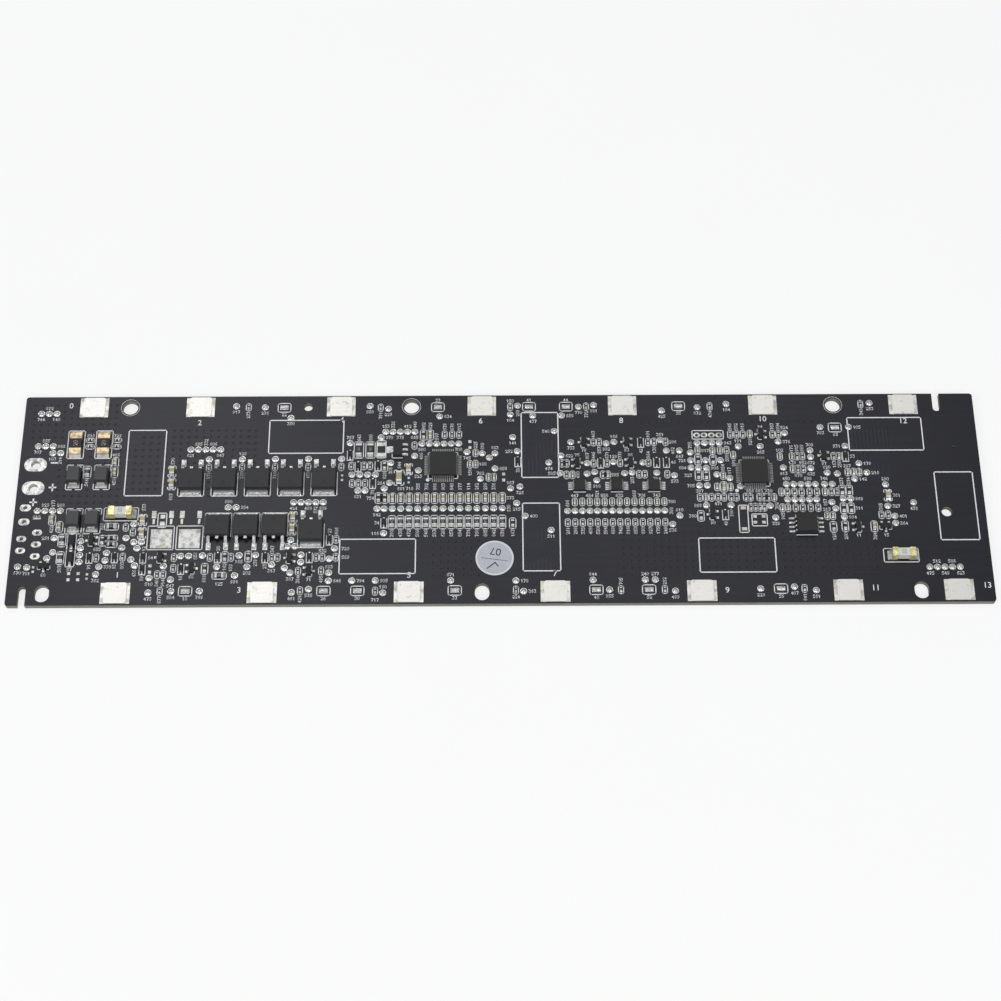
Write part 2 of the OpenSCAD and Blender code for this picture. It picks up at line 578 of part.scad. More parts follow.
module mosfet_land_set() {
    translate([0, drain_front + drain_land[1] / 2, 0])
        block([drain_land[0], drain_land[1], land_t]);
    for (side = [-1, 1])
        translate([side * mosfet_pitch / 2, mosfet_l / 2 + mosfet_reach + 0.55 - gate_land[1] / 2,
            0]) block([gate_land[0], gate_land[1], land_t]);
}

module mosfet_lands() {
    color([0.86, 0.86, 0.84]) on_board(mosfets) mosfet_land_set();
}

module mosfet_bodies() {
    x = mosfet_w / 2;
    y = mosfet_l / 2;
    color([0.17, 0.17, 0.17])
        on_board(mosfets, land_t)
            difference() {
                intersection() {
                    moulded(mosfet_w, mosfet_l, mosfet_h, mosfet_band, heat_tab_t,
                        mosfet_draft);
                    linear_extrude(mosfet_h)
                        polygon([[-x, y], [-x, mosfet_cut - y], [mosfet_cut - x, -y],
                            [x - mosfet_cut, -y], [x, mosfet_cut - y], [x, y]]);
                }
                translate([-heat_tab_w / 2, -mosfet_l, -eps])
                    cube([heat_tab_w, mosfet_l * 1.2, heat_tab_t + eps]);
                translate([0, -mosfet_l / 5, mosfet_h - 0.06]) cylinder(d = 1, h = 1);
            }
}

// The heat tab ends in two chamfered corners, and its own lead is cut short
module mosfet_heat_tabs() {
    half = heat_tab_w / 2;
    tip = -mosfet_l / 2 - heat_tab_out;
    color([0.82, 0.82, 0.82])
        on_board(mosfets, land_t) {
            linear_extrude(heat_tab_t)
                polygon([[-half, mosfet_l * 0.2], [-half, tip + 0.35], [-half + 0.35, tip],
                    [half - 0.35, tip], [half, tip + 0.35], [half, mosfet_l * 0.2]]);
            translate([0, mosfet_l / 2 + 0.35, mosfet_band - heat_tab_t / 2])
                block([mosfet_lead_w, 0.7, heat_tab_t]);
        }
}

module mosfet_leads() {
    color([0.82, 0.82, 0.82])
        on_board(mosfets, land_t)
            for (side = [-1, 1])
                translate([side * mosfet_pitch / 2, 0, 0])
                    gull_lead(mosfet_l / 2, mosfet_l / 2 + mosfet_reach, mosfet_band,
                        heat_tab_t, mosfet_lead_w, 1.3, 0.25);
}

// Footprints that carry no part: two transistors and a few chips
module open_lands() {
    color([0.85, 0.85, 0.82]) {
        on_board(open_mosfets) {
            mosfet_land_set();
            for (side = [-1, 1])
                translate([side * mosfet_pitch / 2, mosfet_l / 2 + 0.4, 0])
                    block([0.6, 1.5, land_t]);
        }
        on_board([[open_mosfets[0][0], -6.45]])
            for (side = [-1, 1]) translate([0, side, 0]) block([1.3, 1.1, land_t]);
        on_board([[monitor_x - 2.9, -7]])
            for (x = [-1, 1], y = [-1, 1])
                translate([x * 1.15, y * 0.85, 0]) block([0.95, 0.75, land_t]);
        on_board([[control_x - 27, 14.4]])
            for (side = [-1, 1]) translate([0, side * 1.6, 0]) block([2.3, 1.1, land_t]);
        on_board([[monitor_x - 7, -6.7]])
            for (side = [-1, 1]) translate([0, side * 3.1, 0]) block([1.4, 0.9, land_t]);
        on_board(concat(at_x(wire_x, [[15.9, -22.8], [18.4, -22.8]]),
            at_x(power_x, [[-10.5, -20.7]]), at_x(control_x, [[-3.2, 15.8], [5.8, 5.9]])))
            for (side = [-1, 1]) translate([0, side * 0.9, 0]) block([0.8, 0.8, land_t]);
        on_board(concat(at_x(wire_x, [[6.5, -20.7], [20.7, -22.8]]),
            at_x(power_x, [[38.9, 5.9]]), at_x(control_x, [[-19.5, 5.1]])))
            for (side = [-1, 1]) translate([0, side * 0.65, 0]) block([0.6, 0.6, land_t]);
    }
}

// ---- Quad packages ------------------------------------------------------------------

quad_band = 0.75;           // height of the leads where they leave the body

module quad_sides() {
    for (turn = [0:90:270], i = [0:quad_n - 1])
        rotate([0, 0, turn])
            translate([(i - (quad_n - 1) / 2) * quad_pitch, 0, 0]) children();
}

module quad_lands(places) {
    color([0.7, 0.7, 0.7])
        on_board(places)
            quad_sides() translate([0, quad_span / 2 - 0.2, 0]) block([0.28, 1.3, land_t]);
}

module quad_leads(places) {
    color([0.72, 0.72, 0.7])
        on_board(places, land_t)
            quad_sides()
                gull_lead(quad_w / 2, quad_span / 2, quad_band, lead_t, lead_w, 0.5);
}

// The body has cut corners, and a round mark at its first lead
module quad_body(places) {
    cut = 0.45;
    h = quad_w / 2;
    color([0.15, 0.15, 0.15])
        on_board(places, land_t + standoff)
            difference() {
                intersection() {
                    moulded(quad_w, quad_w, quad_h, quad_band - standoff, lead_t);
                    linear_extrude(quad_h)
                        polygon([[cut - h, -h], [h - cut, -h], [h, cut - h], [h, h - cut],
                            [h - cut, h], [cut - h, h], [-h, h - cut], [-h, cut - h]]);
                }
                translate([1.1 - h, 1.1 - h, quad_h - 0.05]) cylinder(d = 0.9, h = 1);
            }
}

module controller_lands() { quad_lands(controller); }
module controller_body() { quad_body(controller); }
module controller_leads() { quad_leads(controller); }
module monitor_lands() { quad_lands(monitor); }
module monitor_body() { quad_body(monitor); }
module monitor_leads() { quad_leads(monitor); }

// ---- Packages with leads on two sides -----------------------------------------------
// s = [body width, body length, body height, lead band, leads a side, pitch, span,
//      lead width, foot]; the leads point to -X and +X

memory_size = [5.3, 5.25, 1.85, 0.95, 4, 1.27, 7.9, 0.42, 0.7];
balancer_size = [3, 3, 0.9, 0.5, 5, 0.5, 4.9, 0.2, 0.5];

module dual_sides(s) {
    for (turn = [-90, 90], i = [0:s[4] - 1])
        rotate([0, 0, turn])
            translate([(i - (s[4] - 1) / 2) * s[5], 0, 0]) children();
}

module dual_lands(places, s) {
    color([0.8, 0.8, 0.78])
        on_board(places)
            dual_sides(s)
                translate([0, s[6] / 2 - s[8] / 2 + 0.15, 0])
                    block([s[7] + 0.08, s[8] + 0.9, land_t]);
}

module dual_bodies(places, s) {
    color([0.15, 0.15, 0.15])
        on_board(places, land_t + standoff)
            difference() {
                moulded(s[0], s[1], s[2], s[3] - standoff, lead_t);
                translate([0.7 - s[0] / 2, s[1] / 2 - 0.7, s[2] - 0.05])
                    cylinder(d = 0.5, h = 1);
            }
}

module dual_leads(places, s) {
    color([0.78, 0.78, 0.76])
        on_board(places, land_t)
            dual_sides(s) gull_lead(s[0] / 2, s[6] / 2, s[3], lead_t, s[7], s[8]);
}

module memory_lands() { dual_lands(memory, memory_size); }
module memory_body() { dual_bodies(memory, memory_size); }
module memory_leads() { dual_leads(memory, memory_size); }
module balancer_lands() { dual_lands(balancers, balancer_size); }
module balancer_bodies() { dual_bodies(balancers, balancer_size); }
module balancer_leads() { dual_leads(balancers, balancer_size); }

// ---- Regulator: three leads right, a broad one left ---------------------------------

regulator_body_size = [2.5, 4.5, 1.5];
regulator_lead_t = 0.4;

module regulator_lands() {
    color([0.82, 0.82, 0.8])
        on_board(regulator) {
            for (i = [-1:1])
                translate([1.95, i * 1.5, 0]) block([1.5, 0.6, land_t]);
            translate([-1.9, 0, 0]) block([2.2, 1.9, land_t]);
        }
}

module regulator_body() {
    color([0.2, 0.2, 0.2])
        on_board(regulator, land_t)
            difference() {
                moulded(regulator_body_size[0], regulator_body_size[1],
                    regulator_body_size[2], regulator_lead_t / 2 + 0.1, regulator_lead_t);
                translate([-2, -0.85, -eps]) cube([1.5, 1.7, regulator_lead_t + eps]);
                for (i = [-1:1])
                    translate([0.9, i * 1.5 - 0.24, -eps])
                        cube([1, 0.48, regulator_lead_t + eps]);
            }
}

module regulator_leads() {
    color([0.82, 0.82, 0.8])
        on_board(regulator, land_t) {
            for (i = [-1:1])
                translate([1.7, i * 1.5, 0]) block([1.6, 0.48, regulator_lead_t]);
            translate([-1.4, 0, 0]) block([1.8, 1.7, regulator_lead_t]);
        }
}

// ---- Three-lead transistors ---------------------------------------------------------
// Two leads point to +X and one to -X

transistor_size = [1.3, 2.9, 0.95];
transistor_band = 0.55;
transistor_span = 2.4;

module transistor_sides() {
    for (i = [-1, 1])
        translate([0, i * 0.95, 0]) rotate([0, 0, -90]) children();
    rotate([0, 0, 90]) children();
}

module transistor_lands() {
    color([0.82, 0.82, 0.8])
        on_board(transistors)
            transistor_sides()
                translate([0, transistor_span / 2, 0]) block([0.6, 0.8, land_t]);
}

module transistor_bodies() {
    color([0.15, 0.15, 0.15])
        on_board(transistors, land_t + 0.05)
            moulded(transistor_size[0], transistor_size[1], transistor_size[2],
                transistor_band - 0.05, 0.12);
}

module transistor_leads() {
    color([0.8, 0.8, 0.78])
        on_board(transistors, land_t)
            transistor_sides()
                gull_lead(transistor_size[0] / 2, transistor_span / 2, transistor_band,
                    0.12, 0.4, 0.2, 0.05);
}

// ---- Diodes with a lead at each end -------------------------------------------------
// s = [body width, body length, body height, lead band, over the leads, lead width,
//      lead thickness, land width, slope of the sides]; the body lies along Y

rectifier_size = [3.6, 4.4, 2.2, 1.1, 5.3, 2, 0.2, 3.1, rectifier_draft];
clamp_size = [1.6, 2.7, 1.1, 0.6, 3.7, 0.6, 0.12, 0.7, draft];
diode_size = [1.15, 1.6, 0.8, 0.45, 2.3, 0.35, 0.1, 0.4, draft];

module diode_ends() {
    for (turn = [0, 180]) rotate([0, 0, turn]) children();
}

module two_lead_lands(places, s) {
    color([0.86, 0.86, 0.84])
        on_board(places)
            diode_ends()
                translate([0, s[4] / 2 - s[5] * 0.1, 0])
                    block([s[7], s[5] * 0.5 + 0.7, land_t]);
}

module two_lead_bodies(places, s) {
    color([0.16, 0.16, 0.17])
        on_board(places, land_t + s[6] + 0.02)
            moulded(s[0], s[1], s[2], s[3] - s[6] - 0.02, s[6], s[8]);
}

// The small diodes have gull-wing leads
module two_lead_leads(places, s) {
    color([0.8, 0.8, 0.78])
        on_board(places, land_t)
            diode_ends() gull_lead(s[1] / 2, s[4] / 2, s[3], s[6], s[5], s[6] * 1.6, 0.02);
}

// The rectifiers' leads fold down the end of the body and in under it
module rectifier_leads() {
    s = rectifier_size;
    knee = s[4] / 2 - s[6] / 2;
    color([0.85, 0.85, 0.83])
        on_board(rectifiers, land_t)
            diode_ends()
                bent_strip(eased([[s[1] / 2, s[3]], [knee, s[3]], [knee, s[6] / 2],
                    [s[1] / 2 - 0.8, s[6] / 2]], 0.2), s[6], s[5]);
}

module rectifier_lands() { two_lead_lands(rectifiers, rectifier_size); }
module rectifier_bodies() { two_lead_bodies(rectifiers, rectifier_size); }
module clamp_lands() { two_lead_lands(clamps, clamp_size); }
module clamp_bodies() { two_lead_bodies(clamps, clamp_size); }
module clamp_leads() { two_lead_leads(clamps, clamp_size); }
module diode_lands() { two_lead_lands(diodes, diode_size); }
module diode_bodies() { two_lead_bodies(diodes, diode_size); }
module diode_leads() { two_lead_leads(diodes, diode_size); }

// ---- Chips, shunts and fuses --------------------------------------------------------

module chip_lands() {
    color([0.8, 0.8, 0.8])
        for (g = concat(resistor_groups, capacitor_groups))
            on_board(g[0]) chip_land_pair(g[1]);
}

module resistor_bodies() {
    color([0.12, 0.12, 0.13])
        for (g = resistor_groups) on_board(g[0], land_t) chip_body(g[1]);
}

module resistor_terminals() {
    color([0.75, 0.75, 0.74])
        for (g = resistor_groups) on_board(g[0], land_t) chip_terminals(g[1]);
}

module capacitor_bodies() {
    color([0.62, 0.56, 0.42])
        for (g = capacitor_groups) on_board(g[0], land_t) chip_body(g[1]);
}

module capacitor_terminals() {
    color([0.8, 0.8, 0.76])
        for (g = capacitor_groups) on_board(g[0], land_t) chip_terminals(g[1]);
}

module balance_lands() {
    color([0.8, 0.8, 0.8]) on_board(balance_resistors) chip_land_pair(large_chip);
}

module balance_bodies() {
    color([0.13, 0.13, 0.14]) on_board(balance_resistors, land_t) chip_body(large_chip);
}

module balance_terminals() {
    color([0.75, 0.75, 0.74]) on_board(balance_resistors, land_t) chip_terminals(large_chip);
}

module shunt_lands() {
    color([0.86, 0.86, 0.84]) on_board(shunts) chip_land_pair(shunt_chip);
}

module shunt_bodies() {
    color([0.1, 0.1, 0.1]) on_board(shunts, land_t) chip_body(shunt_chip);
}

module shunt_terminals() {
    color([0.72, 0.64, 0.5]) on_board(shunts, land_t) chip_terminals(shunt_chip);
}

module fuse_lands() {
    color([0.86, 0.86, 0.84]) on_board(fuses) chip_land_pair(fuse_chip, 1);
}

// The ceramic is narrower and lower than the caps that close its ends
module fuse_bodies() {
    color([0.8, 0.8, 0.78])
        on_board(fuses, land_t)
            translate([0, 0, 0.15])
                block([fuse_w - 0.3, fuse_l - 2 * fuse_chip[3], fuse_w - 0.3]);
}

module fuse_caps() {
    color([0.8, 0.74, 0.5]) on_board(fuses, land_t) chip_terminals(fuse_chip);
}

module sticker() {
    color([0.72, 0.74, 0.78])
        on_board([[control_x + 3.3, sticker_edge - top_y]]) cylinder(d = sticker_d, h = sticker_t);
}

board();
cell_tab_lands();
cell_tabs();
power_wire_lands();
signal_wire_lands();
header_lands();
test_pads();
jumper_beads();
open_lands();
mosfet_lands();
mosfet_bodies();
mosfet_heat_tabs();
mosfet_leads();
controller_lands();
controller_body();
controller_leads();
monitor_lands();
monitor_body();
monitor_leads();
memory_lands();
memory_body();
memory_leads();
balancer_lands();
balancer_bodies();
balancer_leads();
regulator_lands();
regulator_body();
regulator_leads();
transistor_lands();
transistor_bodies();
transistor_leads();
rectifier_lands();
rectifier_bodies();
rectifier_leads();
clamp_lands();
clamp_bodies();
clamp_leads();
diode_lands();
diode_bodies();
diode_leads();
chip_lands();
resistor_bodies();
resistor_terminals();
balance_lands();
balance_bodies();
balance_terminals();
capacitor_bodies();
capacitor_terminals();
shunt_lands();
shunt_bodies();
shunt_terminals();
fuse_lands();
fuse_bodies();
fuse_caps();
sticker();
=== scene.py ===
import math

import bmesh
import bpy
from bpy.props import FloatProperty, FloatVectorProperty, PointerProperty
from bpy.types import Operator, Panel, PropertyGroup
from mathutils import Matrix, Vector


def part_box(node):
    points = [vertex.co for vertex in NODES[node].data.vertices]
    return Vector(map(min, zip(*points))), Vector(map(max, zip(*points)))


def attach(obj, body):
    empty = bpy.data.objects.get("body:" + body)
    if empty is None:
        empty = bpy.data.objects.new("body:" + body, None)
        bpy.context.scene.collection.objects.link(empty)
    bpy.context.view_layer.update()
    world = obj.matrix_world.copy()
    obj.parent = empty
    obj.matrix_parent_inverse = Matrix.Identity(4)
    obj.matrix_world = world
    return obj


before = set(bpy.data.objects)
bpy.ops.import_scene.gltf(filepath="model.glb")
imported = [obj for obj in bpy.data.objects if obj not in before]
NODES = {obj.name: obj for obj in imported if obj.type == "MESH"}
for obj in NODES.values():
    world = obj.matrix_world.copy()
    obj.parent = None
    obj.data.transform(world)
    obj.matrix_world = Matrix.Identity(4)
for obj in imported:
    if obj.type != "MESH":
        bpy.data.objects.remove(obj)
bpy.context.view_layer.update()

bl_info = {
    "name": "Battery management board",
    "version": (1, 0, 0),
    "blender": (4, 5, 0),
    "location": "View3D > Sidebar > Battery board",
    "description": "Prints, solders and finishes a battery management board",
    "category": "Object",
}

MM = 0.001
BOARD_LOW, BOARD_HIGH = (Vector(v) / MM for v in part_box("board"))
BOARD_TOP = BOARD_HIGH.z


def linear(red, green, blue):
    """A colour given from 0 to 255, as Blender's linear values."""
    return tuple(((c / 255 + 0.055) / 1.055) ** 2.4 if c > 10 else c / 255 / 12.92
                 for c in (red, green, blue))


def colour(name, description, red, green, blue):
    return FloatVectorProperty(name=name, description=description, subtype="COLOR", size=3,
                               min=0.0, max=1.0, default=linear(red, green, blue))


def length(name, description, millimetres):
    return FloatProperty(name=name, description=description, subtype="DISTANCE",
                         unit="LENGTH", min=0.0, default=millimetres * MM, precision=5)


class BoardSizes(PropertyGroup):
    """Sizes of the print and the solder."""
    ink_line: length("Ink line", "Width of a printed outline", 0.24)
    ink_rise: length("Ink thickness", "Height of the print above the mask", 0.02)
    zone_line: length("Zone line", "Width of the line round a printed zone", 0.3)
    number_height: length("Small numbers", "Height of the numbers beside the chips", 0.8)
    number_line: length("Small number line", "Stroke of the numbers beside the chips", 0.15)
    tab_number: length("Tab numbers", "Height of the numbers at the cell tabs", 1.6)
    via_pitch: length("Via pitch", "Distance between the small vias in the copper", 2.0)
    via_size: length("Via size", "Diameter of a small via", 0.45)


class BoardColours(PropertyGroup):
    """Colours of the board's finishes."""
    mask: colour("Solder mask", "Dark lacquer on both faces", 20, 20, 30)
    laminate: colour("Laminate", "Cut glass-fibre edge", 128, 129, 118)
    ink: colour("Ink", "Print on the mask", 236, 236, 238)
    tin: colour("Tin", "Bright tinned copper and solder", 214, 214, 212)
    nickel: colour("Nickel", "Cell tab plates", 238, 236, 230)
    mould: colour("Mould compound", "Moulded package bodies", 44, 44, 45)
    resistor: colour("Resistor coat", "Top of a chip resistor", 26, 26, 28)
    ceramic: colour("Capacitor ceramic", "Body of a chip capacitor", 168, 160, 118)
    shunt_end: colour("Shunt metal", "End plates of a current shunt", 212, 190, 150)
    fuse_cap: colour("Fuse caps", "End caps of a fuse", 232, 226, 160)
    fuse_body: colour("Fuse ceramic", "Ceramic body of a fuse", 212, 212, 206)
    sticker: colour("Sticker", "Silver foil", 176, 179, 186)


# ---- Shader maths -------------------------------------------------------------------------

class Value:
    """An output of a node, with Python's operators as Math nodes."""

    def __init__(self, finish, socket):
        self.finish, self.socket = finish, socket

    def _math(self, operation, *values):
        return self.finish.node("Math", {"operation": operation}, values)

    def __add__(self, other):
        return self._math("ADD", self, other)

    def __sub__(self, other):
        return self._math("SUBTRACT", self, other)

    def __rsub__(self, other):
        return self._math("SUBTRACT", other, self)

    def __mul__(self, other):
        return self._math("MULTIPLY", self, other)

    def __truediv__(self, other):
        return self._math("DIVIDE", self, other)

    __radd__ = __add__
    __rmul__ = __mul__

    def maximum(self, other):
        return self._math("MAXIMUM", self, other)

    def absolute(self):
        return self._math("ABSOLUTE", self)

    def fraction(self):
        return self._math("FRACT", self)

    def ramp(self, low, high):
        """Rises smoothly from 0 at low to 1 at high, or falls where low is above high."""
        return self.finish.node("MapRange", {"interpolation_type": "SMOOTHSTEP"},
                                {"Value": self, "From Min": low, "From Max": high})


class Finish:
    """A material on Object coordinates, in millimetres."""

    def __init__(self, name):
        self.material = bpy.data.materials.new(name)
        self.material.use_nodes = True
        self.tree = self.material.node_tree
        self.shader = self.tree.nodes["Principled BSDF"]
        where = self.node("TexCoord", output="Object")
        self.place = self.node("Mapping", {}, {"Vector": where,
                                               "Scale": (1 / MM, 1 / MM, 1 / MM)})
        self.x = self.node("SeparateXYZ", {}, {0: self.place}, "X")
        self.y = Value(self, self.x.socket.node.outputs["Y"])
        self.z = Value(self, self.x.socket.node.outputs["Z"])

    def node(self, kind, settings={}, inputs={}, output=0):
        made = self.tree.nodes.new("ShaderNode" + kind)
        for name, value in settings.items():
            setattr(made, name, value)
        items = inputs.items() if isinstance(inputs, dict) else enumerate(inputs)
        for name, value in items:
            if isinstance(value, Value):
                self.tree.links.new(value.socket, made.inputs[name])
            else:
                made.inputs[name].default_value = value
        return Value(self, made.outputs[output])

    def noise(self, scale, detail=2.0, rough=0.5, stretch=(1, 1, 1)):
        where = self.place
        if stretch != (1, 1, 1):
            where = self.node("Mapping", {}, {"Vector": where, "Scale": stretch})
        return self.node("TexNoise", {}, {"Vector": where, "Scale": scale, "Detail": detail,
                                          "Roughness": rough}, "Fac")

    def mix(self, factor, first, second):
        """The first colour where the factor is 0 and the second where it is 1."""
        def full(value):
            return value if isinstance(value, Value) else (*value, 1.0)
        return self.node("Mix", {"data_type": "RGBA", "clamp_factor": True},
                         {0: factor, 6: full(first), 7: full(second)}, 2)

    def disc(self, x, y, radius, soft=0.05):
        dx, dy = self.x - x, self.y - y
        far = self.node("Math", {"operation": "SQRT"}, (dx * dx + dy * dy,))
        return far.ramp(radius + soft, radius - soft)

    def inside(self, x0, x1, y0, y1, soft=0.1):
        return ((self.x - (x0 + x1) / 2).absolute().ramp((x1 - x0) / 2 + soft,
                                                         (x1 - x0) / 2 - soft)
                * (self.y - (y0 + y1) / 2).absolute().ramp((y1 - y0) / 2 + soft,
                                                           (y1 - y0) / 2 - soft))

    def bump(self, height, depth):
        """A normal from a height in millimetres."""
        return self.node("Bump", {}, {"Strength": 1.0, "Distance": depth * MM,
                                      "Height": height}, "Normal")

    def skin(self, **sockets):
        names = {"base": "Base Color", "rough": "Roughness", "metal": "Metallic",
                 "normal": "Normal", "specular": "Specular IOR Level"}
        for key, value in sockets.items():
            socket = self.shader.inputs[names[key]]
            if isinstance(value, Value):
                self.tree.links.new(value.socket, socket)
            elif key == "base":
                socket.default_value = (*value, 1.0)
            else:
                socket.default_value = value
        return self.material


def shade(base, factor):
    return tuple(min(1.0, c * factor) for c in base)


def dress(node, material):
    slots = NODES[node].data.materials
    if not slots:
        slots.append(material)
    for i in range(len(slots)):
        slots[i] = material


# ---- Finishes -----------------------------------------------------------------------------

def mask_finish(colours, sizes):
    """Dark lacquer over copper, with vias and faint tracks, and the cut laminate's edge."""
    f = Finish("mask_over_copper")
    cloudy = f.noise(0.045, 3.0, 0.6)
    fine = f.noise(3.0, 2.0)
    weave = f.noise(1.2, 1.0, 0.4, (1.0, 0.25, 1.0)) + f.noise(1.2, 1.0, 0.4, (0.25, 1.0, 1.0))
    pitch = sizes.via_pitch / MM
    u = (f.x / pitch + 0.35).fraction() - 0.5
    v = (f.y / (pitch * 0.985) + 0.1).fraction() - 0.5
    far = f.node("Math", {"operation": "SQRT"}, (u * u + v * v,)) * pitch
    radius = sizes.via_size / MM / 2
    fields = f.inside(-97, -64.5, -0.6, 20.6)
    for area in ((-127.2, -102.4, 18.2, 29.6), (-118.6, -96, -2.6, 14.8),
                 (32.0, 98.6, -23.0, -10.3), (37, 92, 21.0, 23.0), (-60, -26, -11.0, -9.4),
                 (-19, 0, -24.0, -12.0), (-48, -28, 21.2, 23.4)):
        fields = fields.maximum(f.inside(*area))
    via = far.ramp(radius + 0.08, radius - 0.08) * fields
    rim = (far - radius - 0.12).absolute().ramp(0.16, 0.04) * fields
    # Tracks that show as faint ridges under the lacquer
    slant = (f.x + f.y * 1.0)
    stripes = ((slant / 0.9).fraction() - 0.5).absolute().ramp(0.36, 0.22)
    bundle = f.inside(6.4, 15.2, 6.0, 25.2).maximum(f.inside(6.4, 15.2, -21.2, -2.4))
    bundle = bundle.maximum(f.inside(94.6, 104.6, 5.0, 20.4))
    upright = ((f.x / 1.05).fraction() - 0.5).absolute().ramp(0.36, 0.22)
    blend = f.noise(0.16, 0.0).ramp(0.45, 0.55)
    tracks = (stripes * blend + upright * (1 - blend)) * bundle
    streaks = f.noise(0.5, 1.0, 0.3, (0.12, 1.6, 1.0)).ramp(0.56, 0.6) * 0.5
    height = cloudy * 0.2 + tracks * 0.5 + rim * 0.4 - via * 1.0 + streaks * 0.3
    lift = (tracks * 0.5 + rim * 0.55 + streaks * 0.3 + (cloudy - 0.5) * 0.5)
    lacquer = f.mix(lift, tuple(colours.mask), shade(colours.mask, 2.3))
    # Painted shade: the vias are painted near black for the shade inside their holes
    lacquer = f.mix(via, lacquer, (0.002, 0.002, 0.003))
    layers = f.noise(1.0, 1.0, 0.4, (0.6, 0.6, 9.0))
    cut = f.mix(layers, shade(colours.laminate, 0.55), shade(colours.laminate, 1.35))
    # The lacquer is only on the two faces
    side = (f.z - BOARD_TOP / 2).absolute().ramp(BOARD_TOP / 2 - 0.03, BOARD_TOP / 2 - 0.07)
    return f.skin(base=f.mix(side, lacquer, cut),
                  rough=side * 0.45 + 0.36 + (fine - 0.5) * 0.08, specular=0.42,
                  normal=f.bump(height + weave * 0.05 + fine * 0.03, 0.035))


def ink_finish(name, base):
    """Matt print, a little uneven."""
    f = Finish(name)
    patchy = f.noise(1.4, 3.0, 0.6)
    return f.skin(base=f.mix(patchy, shade(base, 0.86), shade(base, 1.04)),
                  rough=patchy * 0.2 + 0.5, specular=0.3, normal=f.bump(patchy, 0.01))


def tin_finish(name, base, metal=0.55, dull=0.3, lumps=0.8, stain=0.0):
    """Tinned metal and solder: bright, a little lumpy, with grey patches of flux."""
    f = Finish(name)
    lumpy = f.noise(lumps, 2.0, 0.55)
    fine = f.noise(7.0, 2.0)
    patch = lumpy.ramp(0.42, 0.7)
    tint = f.mix(patch, shade(base, 1.06), shade(base, 0.62))
    if stain:
        tint = f.mix(f.noise(0.7, 2.0, 0.6).ramp(0.5, 0.62) * stain, tint,
                     (base[0] * 0.8, base[1] * 0.72, base[2] * 0.42))
    return f.skin(base=tint, metal=metal, rough=patch * 0.18 + dull + (fine - 0.5) * 0.1,
                  normal=f.bump(lumpy + fine * 0.12, 0.09))


def nickel_finish(colours):
    """Rolled nickel strip: fine lines along the roll and a few handling marks."""
    f = Finish("rolled_nickel")
    lines = f.noise(5.0, 2.0, 0.6, (0.06, 1.6, 1.0))
    marks = f.noise(0.8, 4.0, 0.7).ramp(0.56, 0.7)
    tint = f.mix(marks, tuple(colours.nickel), shade(colours.nickel, 0.78))
    return f.skin(base=f.mix(lines.ramp(0.35, 0.75) * 0.35, tint, shade(colours.nickel, 0.8)),
                  metal=0.45, rough=lines * 0.14 + 0.3 + marks * 0.12,
                  normal=f.bump(lines * 0.4 + marks * 0.2, 0.02))


def mould_finish(name, base, grain=5.0, rough=0.5, gloss=0.4, lift=0.0, top=None):
    """Moulded epoxy: matt, finely grained, paler where light grazes the top."""
    f = Finish(name)
    fine = f.noise(grain, 4.0, 0.7)
    wide = f.noise(0.35, 2.0)
    tint = f.mix(fine * 0.6 + wide * 0.4, shade(base, 0.75), shade(base, 1.3))
    if top:
        tint = f.mix(f.z.ramp(top - 0.12, top - 0.01) * lift, tint, shade(base, 2.0))
    return f.skin(base=tint, rough=fine * 0.2 + rough, specular=gloss,
                  normal=f.bump(fine, 0.02))


def chip_finish(name, base, rough=0.3, spread=0.3):
    """Glazed or fired surface of a chip, slightly mottled."""
    f = Finish(name)
    mottled = f.noise(2.2, 3.0, 0.6)
    slow = f.noise(0.22, 0.0)
    tint = f.mix(mottled * 0.6 + slow * 0.4, shade(base, 1 - spread), shade(base, 1 + spread))
    return f.skin(base=tint, rough=mottled * 0.15 + rough, normal=f.bump(mottled, 0.015))


def foil_finish(colours):
    """Silver foil sticker: a paler rim, soft creases."""
    f = Finish("silver_foil")
    low, high = (Vector(v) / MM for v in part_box("sticker"))
    mid = (low + high) / 2
    radius = (high.x - low.x) / 2
    rim = f.disc(mid.x, mid.y, radius - 0.45, 0.12)
    crease = f.noise(0.35, 3.0, 0.6)
    grain = f.noise(9.0, 2.0)
    tint = f.mix(rim, shade(colours.sticker, 1.45), f.mix(crease, shade(colours.sticker, 0.9),
                                                          shade(colours.sticker, 1.12)))
    return f.skin(base=tint, metal=0.35, rough=grain * 0.15 + 0.32,
                  normal=f.bump(crease * 2.0 + grain * 0.1, 0.06))


# ---- Reading the frame --------------------------------------------------------------------

def islands(node):
    """Centre and size of each separate solid of a CAD node, in millimetres."""
    bm = bmesh.new()
    bm.from_mesh(NODES[node].data)
    bmesh.ops.remove_doubles(bm, verts=bm.verts, dist=1e-7)
    seen, found = set(), []
    for start in bm.verts:
        if start.index in seen:
            continue
        seen.add(start.index)
        stack, low, high = [start], start.co.copy(), start.co.copy()
        while stack:
            vertex = stack.pop()
            for axis in range(3):
                low[axis] = min(low[axis], vertex.co[axis])
                high[axis] = max(high[axis], vertex.co[axis])
            for edge in vertex.link_edges:
                other = edge.other_vert(vertex)
                if other.index not in seen:
                    seen.add(other.index)
                    stack.append(other)
        found.append(((low + high) / 2 / MM, (high - low) / MM))
    bm.free()
    return sorted(found, key=lambda item: (round(item[0].x, 3), round(item[0].y, 3)))


# ---- Print --------------------------------------------------------------------------------

